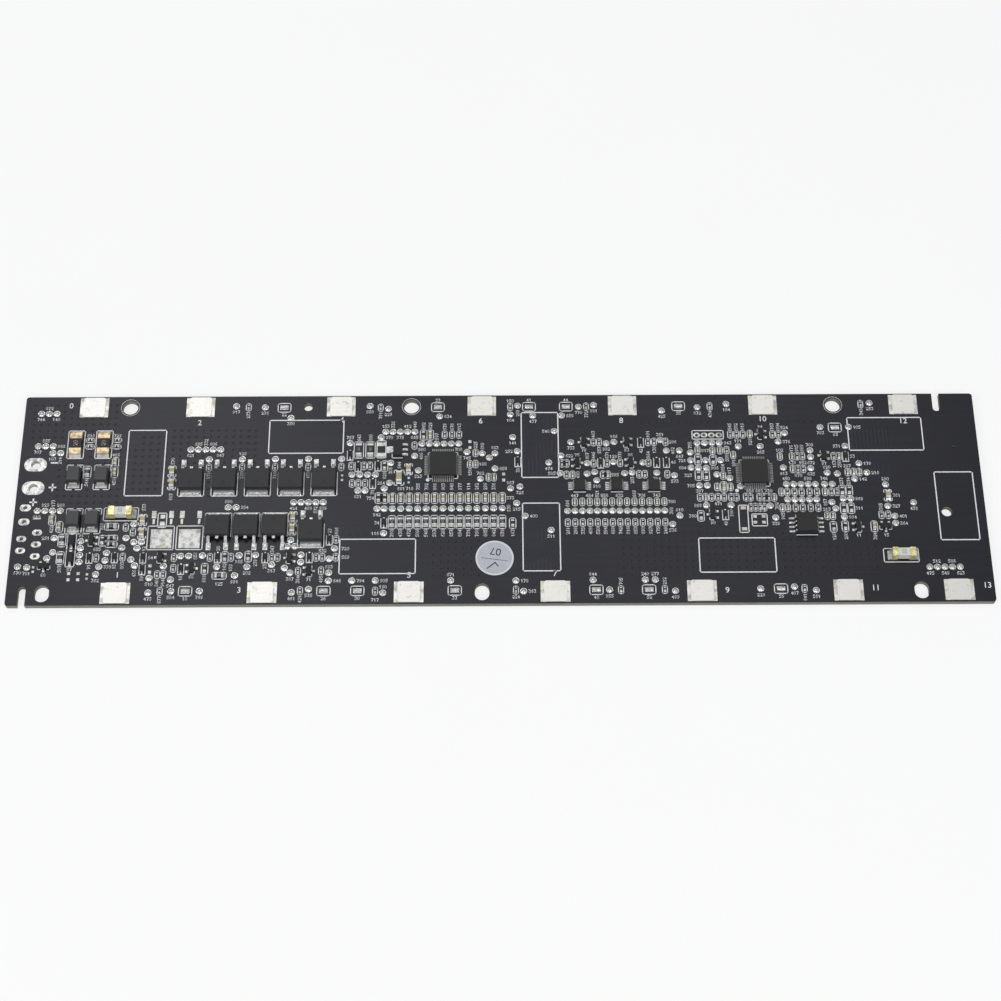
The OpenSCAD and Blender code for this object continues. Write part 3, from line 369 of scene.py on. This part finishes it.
DIGITS = {
    "0": [[(.25, 0), (.75, 0), (1, .25), (1, .75), (.75, 1), (.25, 1), (0, .75), (0, .25),
           (.25, 0)]],
    "1": [[(.15, .75), (.55, 1), (.55, 0)]],
    "2": [[(0, .8), (.25, 1), (.75, 1), (1, .75), (.9, .5), (0, 0), (1, 0)]],
    "3": [[(0, 1), (1, 1), (.5, .58), (1, .35), (.8, 0), (.2, 0), (0, .15)]],
    "4": [[(.75, 0), (.75, 1), (0, .3), (1, .3)]],
    "5": [[(1, 1), (.1, 1), (0, .55), (.75, .6), (1, .35), (.75, 0), (0, 0)]],
    "6": [[(.85, 1), (.2, .8), (0, .3), (.25, 0), (.8, 0), (1, .3), (.75, .55), (.05, .5)]],
    "7": [[(0, 1), (1, 1), (.4, 0)]],
    "8": [[(.25, 0), (.75, 0), (1, .25), (.75, .52), (.25, .52), (0, .75), (.25, 1),
           (.75, 1), (1, .75), (.75, .52)], [(.25, .52), (0, .25), (.25, 0)]],
    "9": [[(.15, 0), (.8, .2), (1, .7), (.75, 1), (.2, 1), (0, .7), (.25, .45), (.95, .5)]],
    "+": [[(0, .5), (1, .5)], [(.5, 0), (.5, 1)]],
    "-": [[(0, .5), (1, .5)]],
}


class Ink:
    """Flat strokes in one mesh, in millimetres, raised at the end to a thin print."""

    def __init__(self):
        self.bm = bmesh.new()

    def face(self, points):
        self.bm.faces.new([self.bm.verts.new((x, y, 0)) for x, y in points])

    def line(self, start, end, width):
        a, b = Vector(start), Vector(end)
        run = (b - a).normalized() * width / 2
        side = Vector((-run.y, run.x))
        self.face([a - run - side, b + run - side, b + run + side, a - run + side])

    def path(self, points, width, closed=False):
        points = list(points) + ([points[0]] if closed else [])
        for a, b in zip(points, points[1:]):
            self.line(a, b, width)

    def box(self, x, y, w, d, width, cut=0.0):
        """A rectangle, with cut corners where cut is given."""
        if not cut:
            corners = [(-w, -d), (w, -d), (w, d), (-w, d)]
        else:
            corners = [(-w + 2 * cut, -d), (w - 2 * cut, -d), (w, -d + 2 * cut),
                       (w, d - 2 * cut), (w - 2 * cut, d), (-w + 2 * cut, d),
                       (-w, d - 2 * cut), (-w, -d + 2 * cut)]
        self.path([(x + cx / 2, y + cy / 2) for cx, cy in corners], width, True)

    def brackets(self, x, y, w, d, arm, width):
        """The four corners of a rectangle."""
        for sx in (-1, 1):
            for sy in (-1, 1):
                cx, cy = x + sx * w / 2, y + sy * d / 2
                self.path([(cx - sx * arm, cy), (cx, cy), (cx, cy - sy * arm)], width)

    def ring(self, x, y, radius, width, parts):
        turns = [2 * math.pi * i / parts for i in range(parts)]
        self.path([(x + radius * math.cos(t), y + radius * math.sin(t)) for t in turns],
                  width, True)

    def dot(self, x, y, radius, parts=14):
        self.face([(x + radius * math.cos(2 * math.pi * i / parts),
                    y + radius * math.sin(2 * math.pi * i / parts)) for i in range(parts)])

    def digits(self, text, x, y, height, width, turn=0.0, slim=0.58):
        """Stroke numbers centred on a place."""
        step = height * slim * 1.5
        c, s = math.cos(turn), math.sin(turn)
        for i, sign in enumerate(text):
            left = (i - (len(text) - 1) / 2) * step - height * slim / 2
            for stroke in DIGITS[sign]:
                flat = [(left + px * height * slim, (py - 0.5) * height) for px, py in stroke]
                self.path([(x + c * px - s * py, y + s * px + c * py) for px, py in flat],
                          width)

    def raised(self, name, material, low, rise):
        """Gives the strokes their thickness and makes them a piece."""
        bm = self.bm
        top = bmesh.ops.extrude_face_region(bm, geom=bm.faces[:])
        bmesh.ops.translate(bm, verts=[g for g in top["geom"]
                                       if isinstance(g, bmesh.types.BMVert)],
                            vec=(0, 0, rise))
        bmesh.ops.recalc_face_normals(bm, faces=bm.faces)
        bmesh.ops.translate(bm, verts=bm.verts, vec=(0, 0, low))
        return finish_piece(bm, name, material)


def finish_piece(bm, name, material):
    """Turns a mesh in millimetres into a piece that rides on the board."""
    bmesh.ops.scale(bm, verts=bm.verts, vec=(MM, MM, MM))
    mesh = bpy.data.meshes.new(name)
    bm.to_mesh(mesh)
    bm.free()
    mesh.materials.append(material)
    piece = bpy.data.objects.new(name, mesh)
    bpy.context.scene.collection.objects.link(piece)
    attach(piece, "root")
    return piece


def shared_finish(name, make):
    return bpy.data.materials.get(name) or make()


def board_ink(scene):
    return shared_finish("board_ink", lambda: ink_finish("board_ink", scene.board_colours.ink))


# Printed zones: left, right, lower and upper edge
ZONES = [(-99.9, -89.8, 0.8, 20.6), (-62.1, -42.1, 13.4, 23.5), (-42.2, -22.3, -22.3, -12.3),
         (5.8, 15.7, 5.8, 25.6), (5.9, 15.7, -21.7, -1.9), (52.1, 72.1, -22.3, -12.4),
         (93.9, 113.9, 13.6, 23.6), (115.9, 126.1, -13.2, 6.9)]
# Outlines round places that carry several pads or no part
FRAMES = [(51.8, 60.2, 17.2, 19.8), (-92.8, -85.9, -15.1, -8.2), (-85.2, -78.3, -15.1, -8.2),
          (-90.4, -88.1, -8.6, -4.4), (63.1, 65.5, -10.8, -2.8), (66.5, 70.5, -8.9, -5.4),
          (-33.0, -30.6, 11.9, 17.1), (-104.8, -95.7, -6.6, -2.75), (100.4, 109.5, -19.6, -15.7)]
TAB_NUMBERS = [(0, -6.3, 0.6), (2, 0, -4.8), (4, 0.3, -4.1), (6, -0.3, -4.6), (8, -0.4, -4.6),
               (10, -0.3, -4.3), (12, -0.4, -5.1), (1, 0.2, 5.2), (3, -6.0, 0.7),
               (5, 0, 4.8), (7, 0, 5.1), (9, 6.6, 0.1), (11, 7.1, 0.6), (13, 7.4, 1.2)]
TAB_NUMBER_ROOM = (3.4, 2.8)
# Centres of the mounting holes
ROUND_HOLES = [(-100.1, 27.6), (-23.9, 27.6), (90.4, 27.6)]
OBLONG_HOLES = [(-119.2, -27.6), (-4.85, -27.6), (109.5, -27.6)]
SIGNS = [("-", -119.2, 10.8), ("+", -119.1, 3.4), ("+", -123.8, -1.0), ("-", -122.4, -5.8)]


def chips():
    """Every two-terminal chip: centre, size class, lengthwise along Y or not, and kind."""
    found = []
    ends = {}
    for node in ("resistor_terminals", "capacitor_terminals", "balance_terminals"):
        for centre, _ in islands(node):
            ends.setdefault((round(centre.x, 1), round(centre.y)), []).append(centre)
    for kind in ("resistor", "capacitor", "balance"):
        for centre, size in islands({"resistor": "resistor_bodies", "balance": "balance_bodies",
                                     "capacitor": "capacitor_bodies"}[kind]):
            narrow = min(size.x, size.y)
            grade = 0 if narrow < 0.6 else 1 if narrow < 1.0 else 2 if narrow < 1.35 else 3
            upright = any(abs(end.x - centre.x) < 0.06 and abs(end.y - centre.y) < 2
                          for dx in (-0.1, 0, 0.1) for dy in (-2, -1, 0, 1, 2)
                          for end in ends.get((round(round(centre.x, 1) + dx, 1),
                                               round(centre.y) + dy), []))
            found.append((centre, grade, upright, kind))
    return found


# Outline of a chip by its size class: width, length and cut of the corners
CHIP_FRAMES = [(1.3, 2.25, 0.3), (1.7, 3.1, 0.3), (1.95, 3.7, 0.3), (2.5, 4.9, 0.2)]
BALANCE_FRAME = (1.85, 3.95)


def chip_frame(grade, upright, kind):
    """Width, depth and corner cut of the outline round a chip."""
    w, d, cut = CHIP_FRAMES[grade]
    if kind == "balance":
        w, d = BALANCE_FRAME
    return (w, d, cut) if upright else (d, w, cut)


class BOARD_OT_outlines(Operator):
    """Prints the outlines of the zones, the chips, the packages and the holes"""
    bl_idname = "board.outlines"
    bl_label = "Printed outlines"

    def execute(self, context):
        sizes = context.scene.board_sizes
        line, zone = sizes.ink_line / MM, sizes.zone_line / MM
        ink = Ink()
        for x0, x1, y0, y1 in ZONES:
            ink.box((x0 + x1) / 2, (y0 + y1) / 2, x1 - x0, y1 - y0, zone)
        for x0, x1, y0, y1 in FRAMES:
            ink.box((x0 + x1) / 2, (y0 + y1) / 2, x1 - x0, y1 - y0, line)
        for centre, grade, upright, kind in chips():
            w, d, cut = chip_frame(grade, upright, kind)
            if kind == "capacitor" and grade >= 2:
                ink.brackets(centre.x, centre.y, w + 0.1, d - 0.4, 0.75, line)
            else:
                ink.box(centre.x, centre.y, w, d, line, cut)
        for centre, _ in islands("shunt_bodies"):
            ink.box(centre.x, centre.y, 4.4, 8.4, line)
        for centre, _ in islands("jumper_beads"):
            ink.box(centre.x, centre.y, 3.45, 2.7, line, 0.35)
        for centre, _ in islands("diode_bodies"):
            for side in (-0.78, 0.78):
                ink.line((centre.x + side, centre.y - 1.2), (centre.x + side, centre.y + 1.2),
                         line)
            ink.line((centre.x - 0.78, centre.y - 1.55), (centre.x + 0.78, centre.y - 1.55),
                     line)
        for centre, _ in islands("clamp_bodies"):
            ink.box(centre.x, centre.y, 2.3, 4.9, line)
        for centre, _ in islands("rectifier_bodies"):
            ink.brackets(centre.x, centre.y, 4.3, 7.4, 1.6, line)
        self.transistors(ink, line)
        self.power(ink, line)
        self.packages(ink, line)
        for x, y in ROUND_HOLES:
            ink.ring(x, y, 2.5, 0.14, 40)
        ink.raised("printed_outlines", board_ink(context.scene), BOARD_TOP,
                   sizes.ink_rise / MM)
        return {"FINISHED"}

    def transistors(self, ink, line):
        """Corner brackets on the side of the single lead."""
        leads = islands("transistor_leads")
        for centre, size in islands("transistor_bodies"):
            near = [p for p, _ in leads if (p - centre).to_2d().length < 1.8]
            away = sum((p - centre for p in near), Vector()).to_2d()
            flat = size.x > size.y
            for side in (-1, 1):
                if flat:
                    step = -1 if away.y > 0 else 1
                    corner = (centre.x + side * 1.6, centre.y + step * 0.8)
                    ink.path([(corner[0] - side * 0.7, corner[1]), corner,
                              (corner[0], corner[1] - step * 1.0)], line)
                else:
                    step = -1 if away.x > 0 else 1
                    corner = (centre.x + step * 0.8, centre.y + side * 1.6)
                    ink.path([(corner[0], corner[1] - side * 0.7), corner,
                              (corner[0] - step * 1.0, corner[1])], line)

    def power(self, ink, line):
        """Three sides round each power transistor's heat tab."""
        tabs = islands("mosfet_heat_tabs")
        for centre, _ in islands("mosfet_bodies"):
            tab = min((p for p, s in tabs if s.x > 3), key=lambda p: (p - centre).length)
            side = 1 if tab.y < centre.y else -1
            front, back = centre.y - side * 4.35, centre.y + side * 2.5
            ink.path([(centre.x - 3.45, back), (centre.x - 3.45, front),
                      (centre.x + 3.45, front), (centre.x + 3.45, back)], line)

    def packages(self, ink, line):
        for node in ("controller_body", "monitor_body"):
            for centre, size in islands(node):
                ink.brackets(centre.x, centre.y, size.x + 0.9, size.y + 0.9, 0.9, line)
        for centre, _ in islands("controller_body"):
            ink.dot(centre.x - 4.05, centre.y - 4.3, 0.5)
        for centre, _ in islands("monitor_body"):
            ink.dot(centre.x - 4.95, centre.y - 5.2, 0.5)
        for centre, _ in islands("balancer_bodies"):
            for side in (-1, 1):
                ink.line((centre.x - 1.5, centre.y + side * 1.75),
                         (centre.x + 1.5, centre.y + side * 1.75), line)
        for centre, _ in islands("memory_body"):
            for side in (-1, 1):
                ink.line((centre.x - 2.7, centre.y + side * 2.9),
                         (centre.x + 2.7, centre.y + side * 2.9), line)
        for centre, _ in islands("regulator_body"):
            ink.path([(centre.x - 1.5, centre.y - 1.4), (centre.x - 1.5, centre.y - 2.45),
                      (centre.x + 1.2, centre.y - 2.45)], line)


class BOARD_OT_numbers(Operator):
    """Prints a small number beside each chip and pad, where there is room"""
    bl_idname = "board.numbers"
    bl_label = "Small numbers"

    CELL = 0.2

    def block(self, x, y, w, d):
        c = self.CELL
        for i in range(math.floor((x - w / 2) / c), math.ceil((x + w / 2) / c)):
            for j in range(math.floor((y - d / 2) / c), math.ceil((y + d / 2) / c)):
                self.taken.add((i, j))

    def free(self, x, y, w, d):
        if abs(x) + w / 2 > BOARD_HIGH.x - 0.5 or abs(y) + d / 2 > BOARD_HIGH.y - 0.4:
            return False
        c = self.CELL
        return not any((i, j) in self.taken
                       for i in range(math.floor((x - w / 2) / c), math.ceil((x + w / 2) / c))
                       for j in range(math.floor((y - d / 2) / c), math.ceil((y + d / 2) / c)))

    def execute(self, context):
        sizes = context.scene.board_sizes
        height, line = sizes.number_height / MM, sizes.number_line / MM
        self.taken, self.count = set(), 10
        ink = Ink()
        items = []
        for x0, x1, y0, y1 in ZONES:
            for x in (x0, x1):
                self.block(x, (y0 + y1) / 2, 0.7, y1 - y0)
            for y in (y0, y1):
                self.block((x0 + x1) / 2, y, x1 - x0, 0.7)
        for x0, x1, y0, y1 in FRAMES:
            self.block((x0 + x1) / 2, (y0 + y1) / 2, x1 - x0 + 0.3, y1 - y0 + 0.3)
        for x, y in ROUND_HOLES:
            self.block(x, y, 5.4, 5.4)
        for x, y in OBLONG_HOLES:
            self.block(x, y, 5.4, 5.8)
        for node in ("cell_tab_lands", "mosfet_bodies", "mosfet_leads", "mosfet_lands",
                     "controller_leads", "controller_body", "monitor_leads", "monitor_body",
                     "memory_lands", "memory_body", "balancer_lands", "balancer_bodies",
                     "regulator_lands", "regulator_body", "power_wire_lands",
                     "signal_wire_lands", "open_lands", "shunt_lands", "fuse_lands",
                     "rectifier_lands", "rectifier_bodies", "sticker"):
            for centre, size in islands(node):
                self.block(centre.x, centre.y, size.x + 0.3, size.y + 0.3)
        for x, y, w, d in ((-124, 8, 6, 1), (-124, 0.5, 6, 2)):
            self.block(x, y, w, d)
        for centre, grade, upright, kind in chips():
            w, d, _ = chip_frame(grade, upright, kind)
            self.block(centre.x, centre.y, w + 0.3, d + 0.3)
            items.append((centre, w, d, 3, upright))
        for node, w, d, count in (("diode_bodies", 1.8, 3.3, 2), ("clamp_bodies", 2.3, 4.9, 2),
                                  ("transistor_bodies", 3.2, 3.2, 2),
                                  ("jumper_beads", 3.5, 2.7, 2), ("test_pads", 1.9, 1.9, 3)):
            for centre, _ in islands(node):
                self.block(centre.x, centre.y, w + 0.2, d + 0.2)
                items.append((centre, w, d, count, node == "diode_bodies"))
        for _, x, y in tab_number_places():
            self.block(x, y, *TAB_NUMBER_ROOM)
        step = height * 0.58 * 1.5
        for centre, w, d, count, upright in items:
            wide = step * (count - 1) + height * 0.58 + line
            tall = height + line
            places = []
            for gap in (0.3, 0.9):
                turned = [(0, -(d + wide) / 2 - gap, True), (0, (d + wide) / 2 + gap, True)]
                level = [(0, -(d + tall) / 2 - gap, False), (0, (d + tall) / 2 + gap, False),
                         ((w + wide) / 2 + gap, 0, False), (-(w + wide) / 2 - gap, 0, False),
                         ((w + tall) / 2 + gap, 0, True), (-(w + tall) / 2 - gap, 0, True)]
                places += turned + level if upright else level + turned
            for dx, dy, turn in places:
                a, b = (tall, wide) if turn else (wide, tall)
                if self.free(centre.x + dx, centre.y + dy, a, b):
                    self.block(centre.x + dx, centre.y + dy, a + 0.1, b + 0.1)
                    self.count += 1
                    text = str(self.count * 37 % 900 + 100)[:count]
                    ink.digits(text, centre.x + dx, centre.y + dy, height, line,
                               math.pi / 2 if turn else 0.0)
                    break
        ink.raised("small_numbers", board_ink(context.scene), BOARD_TOP,
                   sizes.ink_rise / MM)
        return {"FINISHED"}


def tab_number_places():
    """Where the number of each cell tab is printed."""
    tabs = [c for c, _ in islands("cell_tabs")]
    upper = sorted((c for c in tabs if c.y > 0), key=lambda c: c.x)
    lower = sorted((c for c in tabs if c.y < 0), key=lambda c: c.x)
    for number, dx, dy in TAB_NUMBERS:
        tab = (lower if number % 2 else upper)[number // 2]
        yield number, tab.x + dx, tab.y + dy


class BOARD_OT_tab_numbers(Operator):
    """Prints the numbers of the cell tabs and the signs of the wires"""
    bl_idname = "board.tab_numbers"
    bl_label = "Tab numbers"

    def execute(self, context):
        sizes = context.scene.board_sizes
        bm = bmesh.new()
        for number, x, y in tab_number_places():
            curve = bpy.data.curves.new("tab_number", "FONT")
            curve.body = str(number)
            curve.size = sizes.tab_number / MM * 1.42
            curve.align_x, curve.align_y = "CENTER", "CENTER"
            curve.offset = 0.01
            curve.extrude = sizes.ink_rise / MM / 2
            curve.resolution_u = 4
            text = bpy.data.objects.new("tab_number", curve)
            mesh = text.to_mesh().copy()
            text.to_mesh_clear()
            mesh.transform(Matrix.Translation((x, y, BOARD_TOP + sizes.ink_rise / MM / 2)))
            bm.from_mesh(mesh)
            bpy.data.objects.remove(text)
            bpy.data.curves.remove(curve)
            bpy.data.meshes.remove(mesh)
        bmesh.ops.remove_doubles(bm, verts=bm.verts, dist=1e-4)
        finish_piece(bm, "tab_numbers", board_ink(context.scene))
        ink = Ink()
        for sign, x, y in SIGNS:
            ink.digits(sign, x, y, 1.8, 0.42, slim=0.9)
        ink.raised("wire_signs", board_ink(context.scene), BOARD_TOP, sizes.ink_rise / MM)
        return {"FINISHED"}


class BOARD_OT_part_marks(Operator):
    """Prints small numbers on the chips, the shunts and the fuses"""
    bl_idname = "board.part_marks"
    bl_label = "Marks on parts"

    def execute(self, context):
        ink = Ink()
        marks = []
        for node, text, height, line in (("balance_bodies", "47", 0.62, 0.11),
                                         ("shunt_bodies", "20", 1.0, 0.15),
                                         ("fuse_bodies", "30", 0.9, 0.14)):
            for centre, size in islands(node):
                marks.append((text, centre, size, height, line))
        for centre, size in islands("resistor_bodies"):
            if min(size.x, size.y) > 1.0:
                marks.append(("10", centre, size, 0.62, 0.11))
        for text, centre, size, height, line in marks:
            one = Ink()
            one.digits(text, centre.x, centre.y, height, line, math.pi / 2)
            top = centre.z + size.z / 2
            bmesh.ops.translate(one.bm, verts=one.bm.verts, vec=(0, 0, top))
            mesh = bpy.data.meshes.new("mark")
            one.bm.to_mesh(mesh)
            one.bm.free()
            ink.bm.from_mesh(mesh)
            bpy.data.meshes.remove(mesh)
        grey = ink_finish("mark_ink", linear(176, 176, 172))
        ink.raised("part_marks", grey, 0.0, 0.012)
        return {"FINISHED"}


class BOARD_OT_sticker_print(Operator):
    """Prints a line, a tick and a number on the round sticker"""
    bl_idname = "board.sticker_print"
    bl_label = "Sticker print"

    def execute(self, context):
        low, high = (Vector(v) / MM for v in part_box("sticker"))
        mid = (low + high) / 2
        ink = Ink()
        turn = math.radians(172)
        c, s = math.cos(turn), math.sin(turn)

        def put(x, y):
            return mid.x + c * x - s * y, mid.y + s * x + c * y
        ink.line(put(-3.4, 0.4), put(3.4, 0.4), 0.13)
        ink.path([put(-1.2, 2.2), put(-0.3, 1.3), put(1.5, 3.2)], 0.3)
        ink.digits("07", *put(0, -1.8), 1.7, 0.26, turn)
        dark = ink_finish("sticker_ink", linear(60, 62, 70))
        ink.raised("sticker_print", dark, high.z, 0.012)
        return {"FINISHED"}


class BOARD_OT_metals(Operator):
    """Finishes the lands, the leads, the solder and the cell tabs"""
    bl_idname = "board.metals"
    bl_label = "Metals and solder"

    def execute(self, context):
        colours = context.scene.board_colours
        tin = tuple(colours.tin)
        bright = tin_finish("bright_tin", tin)
        for node in ("power_wire_lands", "signal_wire_lands", "header_lands", "chip_lands",
                     "shunt_lands", "fuse_lands", "rectifier_lands", "clamp_lands",
                     "diode_lands", "transistor_lands", "memory_lands", "balancer_lands",
                     "regulator_lands", "balance_lands"):
            dress(node, bright)
        dress("cell_tab_lands", tin_finish("tab_solder", shade(tin, 1.15), 0.4, 0.34, 0.5, 0.6))
        flat = tin_finish("open_tin", tin, 0.4, 0.4, 0.9, 0.5)
        dress("open_lands", flat)
        dress("mosfet_lands", tin_finish("reflowed_tin", tin, 0.5, 0.28, 1.4))
        beads = tin_finish("solder_beads", shade(tin, 0.98), 0.7, 0.2, 1.8)
        dress("test_pads", beads)
        dress("jumper_beads", beads)
        leads = tin_finish("plated_leads", shade(tin, 0.95), 0.7, 0.25, 2.5)
        for node in ("mosfet_leads", "mosfet_heat_tabs", "rectifier_leads", "clamp_leads",
                     "diode_leads", "transistor_leads", "memory_leads", "balancer_leads",
                     "regulator_leads"):
            dress(node, leads)
        fine = tin_finish("fine_leads", shade(tin, 0.5), 0.6, 0.35, 3.0)
        for node in ("controller_leads", "monitor_leads", "controller_lands",
                     "monitor_lands"):
            dress(node, fine)
        dress("cell_tabs", nickel_finish(colours))
        ends = tin_finish("chip_ends", shade(tin, 1.1), 0.35, 0.35, 3.0)
        for node in ("resistor_terminals", "balance_terminals", "capacitor_terminals"):
            dress(node, ends)
        dress("shunt_terminals", tin_finish("shunt_ends", tuple(colours.shunt_end), 0.5, 0.3,
                                            0.8))
        dress("fuse_caps", tin_finish("fuse_ends", tuple(colours.fuse_cap), 0.5, 0.25, 0.8))
        return {"FINISHED"}


class BOARD_OT_bodies(Operator):
    """Finishes the laminate and the bodies of the parts"""
    bl_idname = "board.bodies"
    bl_label = "Board and bodies"

    def execute(self, context):
        colours = context.scene.board_colours
        dress("board", mask_finish(colours, context.scene.board_sizes))
        mould = tuple(colours.mould)
        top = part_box("mosfet_bodies")[1][2] / MM
        dress("mosfet_bodies", mould_finish("power_mould", mould, 3.5, 0.5, 0.4, 0.3, top))
        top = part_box("rectifier_bodies")[1][2] / MM
        dress("rectifier_bodies", mould_finish("rectifier_mould", shade(mould, 1.4), 3.5, 0.4,
                                               0.5, 0.5, top))
        quad = mould_finish("quad_mould", shade(mould, 0.75), 5.0, 0.45)
        for node in ("controller_body", "monitor_body", "memory_body", "balancer_bodies",
                     "regulator_body"):
            dress(node, quad)
        small = mould_finish("small_mould", shade(mould, 0.6), 6.0, 0.5)
        for node in ("transistor_bodies", "clamp_bodies", "diode_bodies"):
            dress(node, small)
        coat = chip_finish("resistor_glaze", tuple(colours.resistor), 0.3)
        dress("resistor_bodies", coat)
        dress("balance_bodies", coat)
        dress("shunt_bodies", chip_finish("shunt_coat", tuple(colours.resistor), 0.4))
        dress("capacitor_bodies", chip_finish("capacitor_ceramic", tuple(colours.ceramic), 0.4,
                                              0.2))
        dress("fuse_bodies", chip_finish("fuse_ceramic", tuple(colours.fuse_body), 0.35, 0.12))
        dress("sticker", foil_finish(colours))
        return {"FINISHED"}


class BOARD_OT_stage(Operator):
    """Sets the floor, the lights and the camera"""
    bl_idname = "board.stage"
    bl_label = "Stage"

    def execute(self, context):
        scene = context.scene
        bm = bmesh.new()
        bmesh.ops.create_grid(bm, x_segments=1, y_segments=1, size=3.0)
        mesh = bpy.data.meshes.new("floor")
        bm.to_mesh(mesh)
        bm.free()
        floor = bpy.data.objects.new("floor", mesh)
        scene.collection.objects.link(floor)
        floor.location.z = -0.0001
        paper = Finish("floor_paper")
        seen = paper.node("LightPath", output="Is Camera Ray")
        pale = paper.skin(base=paper.mix(paper.noise(0.02), (0.86, 0.86, 0.86),
                                         (0.9, 0.9, 0.9)), rough=0.9, specular=0.0)
        glow = paper.node("Emission", {}, {"Color": (1, 1, 1, 1), "Strength": 1.0})
        shown = paper.node("MixShader", {}, {0: seen * 0.75,
                                             1: Value(paper, paper.shader.outputs[0]),
                                             2: glow})
        paper.tree.links.new(shown.socket, paper.tree.nodes["Material Output"].inputs[0])
        mesh.materials.append(pale)
        world = bpy.data.worlds.new("studio")
        scene.world = world
        world.use_nodes = True
        sky = world.node_tree.nodes["Background"]
        sky.inputs["Color"].default_value = (0.95, 0.97, 1.0, 1)
        sky.inputs["Strength"].default_value = 0.36
        self.lamp(scene, "left_box", (-0.23, 0.447, 0.882), (-0.085, 0.0, 0.0), 0.17, 0.5, 1.1)
        self.lamp(scene, "strip_box", (0.174, 0.447, 0.882), (0.062, 0, 0), 0.08, 0.5, 0.45)
        self.lamp(scene, "front_box", (0.45, -0.75, 0.8), (0, 0, 0), 0.8, 0.6, 5.5)
        self.lamp(scene, "side_box", (-0.75, -0.45, 0.7), (0, 0, 0), 0.6, 0.6, 4.5)
        camera = bpy.data.cameras.new("view")
        camera.sensor_width = 36.0
        camera.lens = 2118.9685 * 36.0 / 1001
        camera.clip_start = 0.01
        eye = bpy.data.objects.new("view", camera)
        eye.location = (-0.0018847, -0.2553828, 0.5028929)
        eye.rotation_euler = (0.4694903, -0.0011303, -0.0054752)
        scene.collection.objects.link(eye)
        scene.camera = eye
        scene.view_settings.view_transform = "Standard"
        return {"FINISHED"}

    def lamp(self, scene, name, place, aim, width, height, power):
        light = bpy.data.lights.new(name, "AREA")
        light.shape = "RECTANGLE"
        light.size, light.size_y = width, height
        light.energy = power
        holder = bpy.data.objects.new(name, light)
        holder.location = place
        holder.rotation_euler = (Vector(aim) - Vector(place)).to_track_quat("-Z", "Y").to_euler()
        scene.collection.objects.link(holder)


class BOARD_PT_panel(Panel):
    """Lists the steps that finish the board"""
    bl_idname = "BOARD_PT_panel"
    bl_label = "Battery board"
    bl_space_type = "VIEW_3D"
    bl_region_type = "UI"
    bl_category = "Battery board"

    def draw(self, context):
        for step in STEPS:
            self.layout.operator(step.bl_idname)
        for group in (context.scene.board_sizes, context.scene.board_colours):
            for name in group.bl_rna.properties.keys():
                if name not in ("rna_type", "name"):
                    self.layout.prop(group, name)


STEPS = [BOARD_OT_stage, BOARD_OT_bodies, BOARD_OT_metals, BOARD_OT_outlines,
         BOARD_OT_numbers, BOARD_OT_tab_numbers, BOARD_OT_part_marks, BOARD_OT_sticker_print]
CLASSES = [BoardSizes, BoardColours, *STEPS, BOARD_PT_panel]


def register():
    for each in CLASSES:
        bpy.utils.register_class(each)
    bpy.types.Scene.board_sizes = PointerProperty(type=BoardSizes)
    bpy.types.Scene.board_colours = PointerProperty(type=BoardColours)


def unregister():
    del bpy.types.Scene.board_colours
    del bpy.types.Scene.board_sizes
    for each in reversed(CLASSES):
        bpy.utils.unregister_class(each)


def main():
    register()
    bpy.ops.board.stage()
    bpy.ops.board.bodies()
    bpy.ops.board.metals()
    bpy.ops.board.outlines()
    bpy.ops.board.numbers()
    bpy.ops.board.tab_numbers()
    bpy.ops.board.part_marks()
    bpy.ops.board.sticker_print()


if __name__ == "__main__":
    main()
